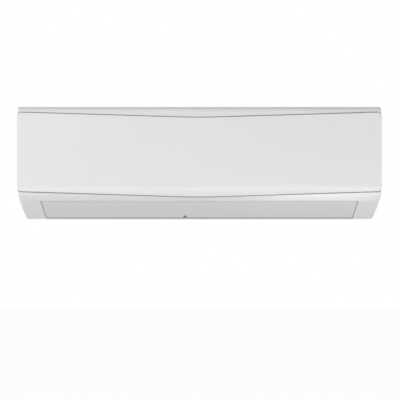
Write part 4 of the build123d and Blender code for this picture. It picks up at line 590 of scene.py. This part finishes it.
# ---- Louver, its centre bearing and its motor ----
# The wide louver that closes the outlet is a bulged strip of satin ABS on cheeks and pins. A
# small elbow carries its middle, and a geared motor in a black case turns its right end.
# Cool satin white, smooth enough for broad soft gleams; and a plain black with a low sheen.
louver_abs = moulded("satin_white_abs", "#DFE1E0", 0.30, 1.5, 0.005)
motor_pbt = moulded("black_pbt", "#1E1F21", 0.45, 0.8, 0.02)
eased("louver_bearing", louver_abs, 0.0002)
eased("louver", louver_abs, 0.0003)
eased("louver_motor", motor_pbt, 0.0004)
ear_screw = cross_head_screw("ear_screw", 0.0024, 0.0015, 0.0011, 0.0036)
ear_places = [(0.3654, -0.065, UNDERSIDE + 0.032), (0.3654, -0.099, UNDERSIDE + 0.032)]
screw_set("louver_motor_fixings", ear_screw, ear_places, TOWARDS_RIGHT, "louver_motor_screws")


# ---- Electrical box ----
# A flame-proof moulded box at the right end holds the control board on edge; its cover carries
# the terminal block. The board is green FR4 with a transformer, relays, capacitors, a connector.
TRACK_MM = 2.5
TRACK_SHARE = 0.12
BOARD_SHEET = 0.0016
ABOVE_SHEET = 0.0001
LOW_PARTS_TOP = 0.047
COIL_END = 0.050
HEAD_START = 0.070


def etched_board(name, resist, track):
    """Glass-epoxy board: green resist over copper tracks, which show as lighter lines."""
    material, tree, shader = new_material(name)
    shader.inputs["IOR"].default_value = 1.5
    shader.inputs["Roughness"].default_value = 0.35
    place = add(tree, "ShaderNodeTexCoord").outputs["Object"]
    axes = add(tree, "ShaderNodeSeparateXYZ", {"Vector": place}).outputs
    across = add(tree, "ShaderNodeMath", {0: axes["X"], 1: axes["Y"]}, operation="ADD")
    flat = add(tree, "ShaderNodeCombineXYZ", {"X": axes["Z"], "Y": across.outputs[0]})
    sizes = {"Vector": flat.outputs[0], "Scale": 1000 / TRACK_MM, "Mortar Size": TRACK_SHARE,
             "Brick Width": 4.0, "Color1": linear(resist), "Color2": linear(resist),
             "Mortar": linear(track)}
    tracks = add(tree, "ShaderNodeTexBrick", sizes)
    tree.links.new(tracks.outputs["Color"], shader.inputs["Base Color"])
    return material


# The box is a matt cream grey; the board green under lighter tracks. On it stand a transformer
# in yellow tape, dark relays, black sleeved capacitors and an ivory connector.
box_abs = moulded("flame_proof_abs", "#CBCBC5", 0.46, 0.8, 0.03)
board_fr4 = etched_board("fr4_board", "#1E5434", "#3A7A4C")
coil_tape = moulded("transformer_tape", "#B99A3A", 0.5, 1.2, 0.02)
relay_case = moulded("relay_case", "#20242B", 0.35, 1.0, 0.01)
sleeve = moulded("capacitor_sleeve", "#15171B", 0.3, 1.0, 0.01)
white_nylon = moulded("white_nylon", "#E4E2D8", 0.4, 1.0, 0.01)
eased("electrical_box", box_abs, 0.0006)
board = eased("control_board", board_fr4, 0.0004)
low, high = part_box("control_board")
board_face = low.x + BOARD_SHEET
for material in (coil_tape, relay_case, sleeve, white_nylon):
    board.data.materials.append(material)
for face in board.data.polygons:
    spot = face.center
    rise, ahead = spot.z - low.z, high.y - spot.y
    if spot.x > board_face + ABOVE_SHEET:
        in_foot = rise < LOW_PARTS_TOP
        in_head = ahead > HEAD_START
        face.material_index = (1 if ahead < COIL_END else 2) if in_foot else (4 if in_head else 3)
terminal_places = [
    (0.3705 + step, -0.1476, UNDERSIDE + 0.168) for step in (-0.01575, -0.00525, 0.00525, 0.01575)
]
eased("electrical_box_cover", box_abs, 0.0006)
eased("terminal_block", motor_pbt, 0.0004)
terminal_screw = cross_head_screw("terminal_screw", 0.0034, 0.0018, 0.0016, 0.005)
screw_set("terminal_screws", terminal_screw, terminal_places, TOWARDS_ROOM)


# ---- Front frame ----
# The casing's outer shell: top grille, ends, front with its openings, chin. White polystyrene
# with a fine satin mould finish, screwed to the drain pan by three sunk screws.
GRILLE_BAYS = 9
GRILLE_ROWS = 7
GRILLE_BAY_PITCH = 0.074
GRILLE_ROW_PITCH = 0.018
GRILLE_MIDDLE = 0.084
SLOT_LENGTH = 0.068
SLOT_WIDTH = 0.013
SLATS_IN_SLOT = 2
SLAT = (0.0684, 0.0011, 0.0022)
SLAT_SUNK = 0.0002
TOP_HEIGHT = 0.106

# Clean white with a satin shine that spreads a lamp into a soft gleam.
casing_hips = moulded("satin_white_polystyrene", "#E9EAE9", 0.27, 0.7, 0.0023)
eased("front_frame", casing_hips, 0.0005, crease=(-0.1574, UNDERSIDE + 0.0435))

slat_inputs = {"Bays": "Int", "Rows": "Int", "Grille Length": "Float", "Grille Depth": "Float",
               "Slats": "Int", "Slat Step": "Vector", "Slat Size": "Vector", "Material": "Material"}
slat_tree, given = growth_tree("grille_slats", slat_inputs)
grid = {"Size X": given["Grille Length"], "Size Y": given["Grille Depth"],
        "Vertices X": given["Bays"], "Vertices Y": given["Rows"]}
slots = add(slat_tree, "GeometryNodeMeshGrid", grid)
slat = add(slat_tree, "GeometryNodeMeshCube", {"Size": given["Slat Size"]})
line = {"Count": given["Slats"], "Offset": given["Slat Step"]}
row = add(slat_tree, "GeometryNodeMeshLine", line, mode="OFFSET")
in_slot = add(slat_tree, "GeometryNodeInstanceOnPoints",
              {"Points": row.outputs[0], "Instance": slat.outputs[0]})
over_top = {"Points": slots.outputs[0], "Instance": in_slot.outputs[0]}
slats = add(slat_tree, "GeometryNodeInstanceOnPoints", over_top)
close_tree(slat_tree, slats.outputs[0], given["Material"])
step = SLOT_WIDTH / (SLATS_IN_SLOT + 1)
values = {"Bays": GRILLE_BAYS, "Rows": GRILLE_ROWS,
          "Grille Length": (GRILLE_BAYS - 1) * GRILLE_BAY_PITCH,
          "Grille Depth": (GRILLE_ROWS - 1) * GRILLE_ROW_PITCH, "Slats": SLATS_IN_SLOT,
          "Slat Step": (0, step, 0), "Slat Size": SLAT, "Material": casing_hips}
slats = grown("grille_slats", bpy.data.meshes.new("grille_slats_seed"), slat_tree, values)
first = -step * (SLATS_IN_SLOT - 1) / 2
slat_place = (0, -GRILLE_MIDDLE + first, TOP_HEIGHT - SLAT[2] / 2 - SLAT_SUNK)
slats.data.transform(Matrix.Translation(slat_place))
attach(slats, "casing")

frame_screw = cross_head_screw("frame_screw", 0.0035, 0.0016, 0.0018, 0.0075)
frame_places = [(x, -0.1794, UNDERSIDE + 0.084) for x in (-0.300, 0, 0.300)]
screw_set("frame_fixings", frame_screw, frame_places, TOWARDS_ROOM, "frame_screws")
for pattern in (small_screw, ear_screw, terminal_screw, frame_screw):
    bpy.data.objects.remove(pattern)


# ---- Small pieces behind the panel ----
# The hatch over the terminals and the manual button are casing plastic; the receiver board on
# its posts carries the button's switch.
eased("wire_cover", casing_hips, 0.0004)
eased("receiver_board", board_fr4, 0.0002)
eased("aux_button", casing_hips, 0.0004)


# ---- Air filters ----
# Two curved filters slide down behind the front: a dark polypropylene frame with cross bars,
# moulded round a net of fine nylon threads.
NET_RADIUS = 0.1262
NET_PITCH = 0.001
THREAD_RADIUS = 0.00014
NET_AXIS = (0.046, 0.118)     # from the wall, and above the underside
NET_LOW = radians(-6.9)
NET_HIGH = radians(88.9)
ARC_STEPS = 20

# Dark slate frame with a low sheen; darker, matt thread.
filter_pp = moulded("dark_polypropylene", "#40464D", 0.5, 0.8, 0.02)
net_nylon = moulded("nylon_thread", "#33373C", 0.6, 0.5, 0.01)

net_inputs = {"Arc Radius": "Float", "Arc Start": "Float", "Arc Sweep": "Float", "Arc Steps": "Int",
              "Threads Round": "Int", "Threads Along": "Int", "Pitch Along": "Vector",
              "Net Length": "Vector", "Thread Radius": "Float", "Place": "Vector",
              "Turn": "Rotation", "Material": "Material"}
net_tree, given = growth_tree("filter_net", net_inputs)
thread = add(net_tree, "GeometryNodeCurvePrimitiveCircle",
             {"Resolution": 4, "Radius": given["Thread Radius"]})
bow = {"Radius": given["Arc Radius"], "Start Angle": given["Arc Start"],
       "Sweep Angle": given["Arc Sweep"]}
hoop = add(net_tree, "GeometryNodeCurveArc", {**bow, "Resolution": given["Arc Steps"]})
hoop_thread = add(net_tree, "GeometryNodeCurveToMesh",
                  {"Curve": hoop.outputs[0], "Profile Curve": thread.outputs[0], "Fill Caps": True})
along = {"Count": given["Threads Along"], "Offset": given["Pitch Along"]}
along_places = add(net_tree, "GeometryNodeMeshLine", along, mode="OFFSET")
hoops = add(net_tree, "GeometryNodeInstanceOnPoints",
            {"Points": along_places.outputs[0], "Instance": hoop_thread.outputs[0]})
spots = add(net_tree, "GeometryNodeCurveArc", {**bow, "Resolution": given["Threads Round"]})
spot_points = add(net_tree, "GeometryNodeCurveToPoints", {"Curve": spots.outputs[0]}, mode="EVALUATED")
straight = add(net_tree, "GeometryNodeCurvePrimitiveLine", {"End": given["Net Length"]})
swept = {"Curve": straight.outputs[0], "Profile Curve": thread.outputs[0], "Fill Caps": True}
straight_thread = add(net_tree, "GeometryNodeCurveToMesh", swept)
lengths = add(net_tree, "GeometryNodeInstanceOnPoints",
              {"Points": spot_points.outputs[0], "Instance": straight_thread.outputs[0]})
both = add(net_tree, "GeometryNodeJoinGeometry")
net_tree.links.new(hoops.outputs[0], both.inputs[0])
net_tree.links.new(lengths.outputs[0], both.inputs[0])
moved = add(net_tree, "GeometryNodeTransform",
            {"Geometry": both.outputs[0], "Translation": given["Place"], "Rotation": given["Turn"]})
close_tree(net_tree, moved.outputs[0], given["Material"])

across_unit = Matrix(((0, 0, -1), (-1, 0, 0), (0, 1, 0))).to_euler()
for side in ("left", "right"):
    eased(f"filter_frame_{side}", filter_pp, 0.0003)
    low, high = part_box(f"filter_mesh_{side}")
    length = high.x - low.x
    threads_round = int(NET_RADIUS * (NET_HIGH - NET_LOW) / NET_PITCH)
    values = {"Arc Radius": NET_RADIUS, "Arc Start": NET_LOW, "Arc Sweep": NET_HIGH - NET_LOW,
              "Arc Steps": ARC_STEPS, "Threads Round": threads_round,
              "Threads Along": int(length / NET_PITCH), "Pitch Along": (0, 0, NET_PITCH),
              "Net Length": (0, 0, length), "Thread Radius": THREAD_RADIUS,
              "Place": (high.x, -NET_AXIS[0], UNDERSIDE + NET_AXIS[1]), "Turn": tuple(across_unit),
              "Material": net_nylon}
    net = grown(f"filter_net_{side}", bpy.data.meshes.new("net_seed"), net_tree, values)
    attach(net, f"filter_{side}")
    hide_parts(f"filter_mesh_{side}")


# ---- Painted shade in the panel's seam ----
# Two round grey strips lie in the groove along the panel's upper and lower edges. Their grey is painted
# shade: a dark strip put where the gap round the panel is in shade. They are what shows as the fine
# line round the panel.
STRIP_RADIUS = 0.0008
STRIP_FROM_PANEL = 0.0011
STRAIGHT_END = 0.399
STRIP_END = 0.4084
AHEAD_OF_UNIT = -0.3
CURVE_STEPS = 12
STRAIGHT_STEPS = 60
HALVINGS = 14
# For each edge: a height on the panel, one beyond the edge, and what the panel's front lies ahead of.
EDGES = ((0.0, 0.12, -0.183), (-0.05, -0.14, -0.170))


def struck(name):
    """A function that gives where a line from the front, at x and z, strikes the CAD solid."""
    mesh = nodes[name].data
    faces = [face.vertices for face in mesh.polygons]
    solid = BVHTree.FromPolygons([v.co for v in mesh.vertices], faces)
    return lambda x, z: solid.ray_cast((x, AHEAD_OF_UNIT, z), (0, 1, 0))[0]


strikes_panel = struck("front_panel")
strikes_frame = struck("front_frame")


def edge_height(x, on_panel, beyond, front):
    """The height between the two given at which the panel's front ends on the line x."""
    for _ in range(HALVINGS):
        middle = (on_panel + beyond) / 2
        spot = strikes_panel(x, middle)
        if spot and spot.y < front:
            on_panel = middle
        else:
            beyond = middle
    return on_panel


counts = range(1, CURVE_STEPS + 1)
curve_steps = [STRAIGHT_END + (STRIP_END - STRAIGHT_END) * i / CURVE_STEPS for i in counts]
counts = range(STRAIGHT_STEPS + 1)
straight_steps = [-STRAIGHT_END + 2 * STRAIGHT_END * i / STRAIGHT_STEPS for i in counts]
stations = [-x for x in reversed(curve_steps)] + straight_steps + curve_steps
strip_points, strip_edges = [], []
for on_panel, beyond, front in EDGES:
    edge = [Vector((x, edge_height(x, on_panel, beyond, front))) for x in stations]
    side = STRIP_FROM_PANEL if beyond > on_panel else -STRIP_FROM_PANEL
    for i in range(1, len(edge) - 1):
        along = (edge[i + 1] - edge[i - 1]).normalized()
        x, z = edge[i] + side * Vector((-along.y, along.x))
        if i > 1:
            strip_edges.append((len(strip_points) - 1, len(strip_points)))
        strip_points.append((x, strikes_frame(x, z).y - STRIP_RADIUS, z))
strip_path = bpy.data.meshes.new("seam_shade_path")
strip_path.from_pydata(strip_points, strip_edges, [])

strip_tree, given = growth_tree("seam_shade_strip", {"Radius": "Float", "Material": "Material"})
path = add(strip_tree, "GeometryNodeMeshToCurve", {"Mesh": given["Geometry"]})
ring = add(strip_tree, "GeometryNodeCurvePrimitiveCircle", {"Resolution": 8, "Radius": given["Radius"]})
swept = {"Curve": path.outputs[0], "Profile Curve": ring.outputs[0], "Fill Caps": True}
strip = add(strip_tree, "GeometryNodeCurveToMesh", swept)
close_tree(strip_tree, strip.outputs[0], given["Material"])

# Mid grey and dead matt, with a fine bump grain: painted shade for the gap round the panel.
shade_strip_grey = moulded("painted_seam_shade_grey", "#949595", 0.85, 0.8, 0.02)
# This strip's grey is painted shade, standing in for the shadow in the panel's seam.
seam_shade_piece = grown("panel_seal", strip_path, strip_tree, {"Radius": STRIP_RADIUS, "Material": shade_strip_grey})
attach(seam_shade_piece, "casing")


# ---- Front panel ----
# The hinged panel, moulded in white ABS in a polished mould, so it is glossy with a very faint
# ripple; it hangs on two gooseneck arms and snaps shut with two catches.
# Glossy warm white under a thin clear sheen, which mirrors the lamps softly.
panel_abs = moulded("polished_white_abs", "#EDEDEB", 0.20, 2.5, 0.01, coat=0.3)
eased("front_panel", panel_abs, 0.0006, 3)
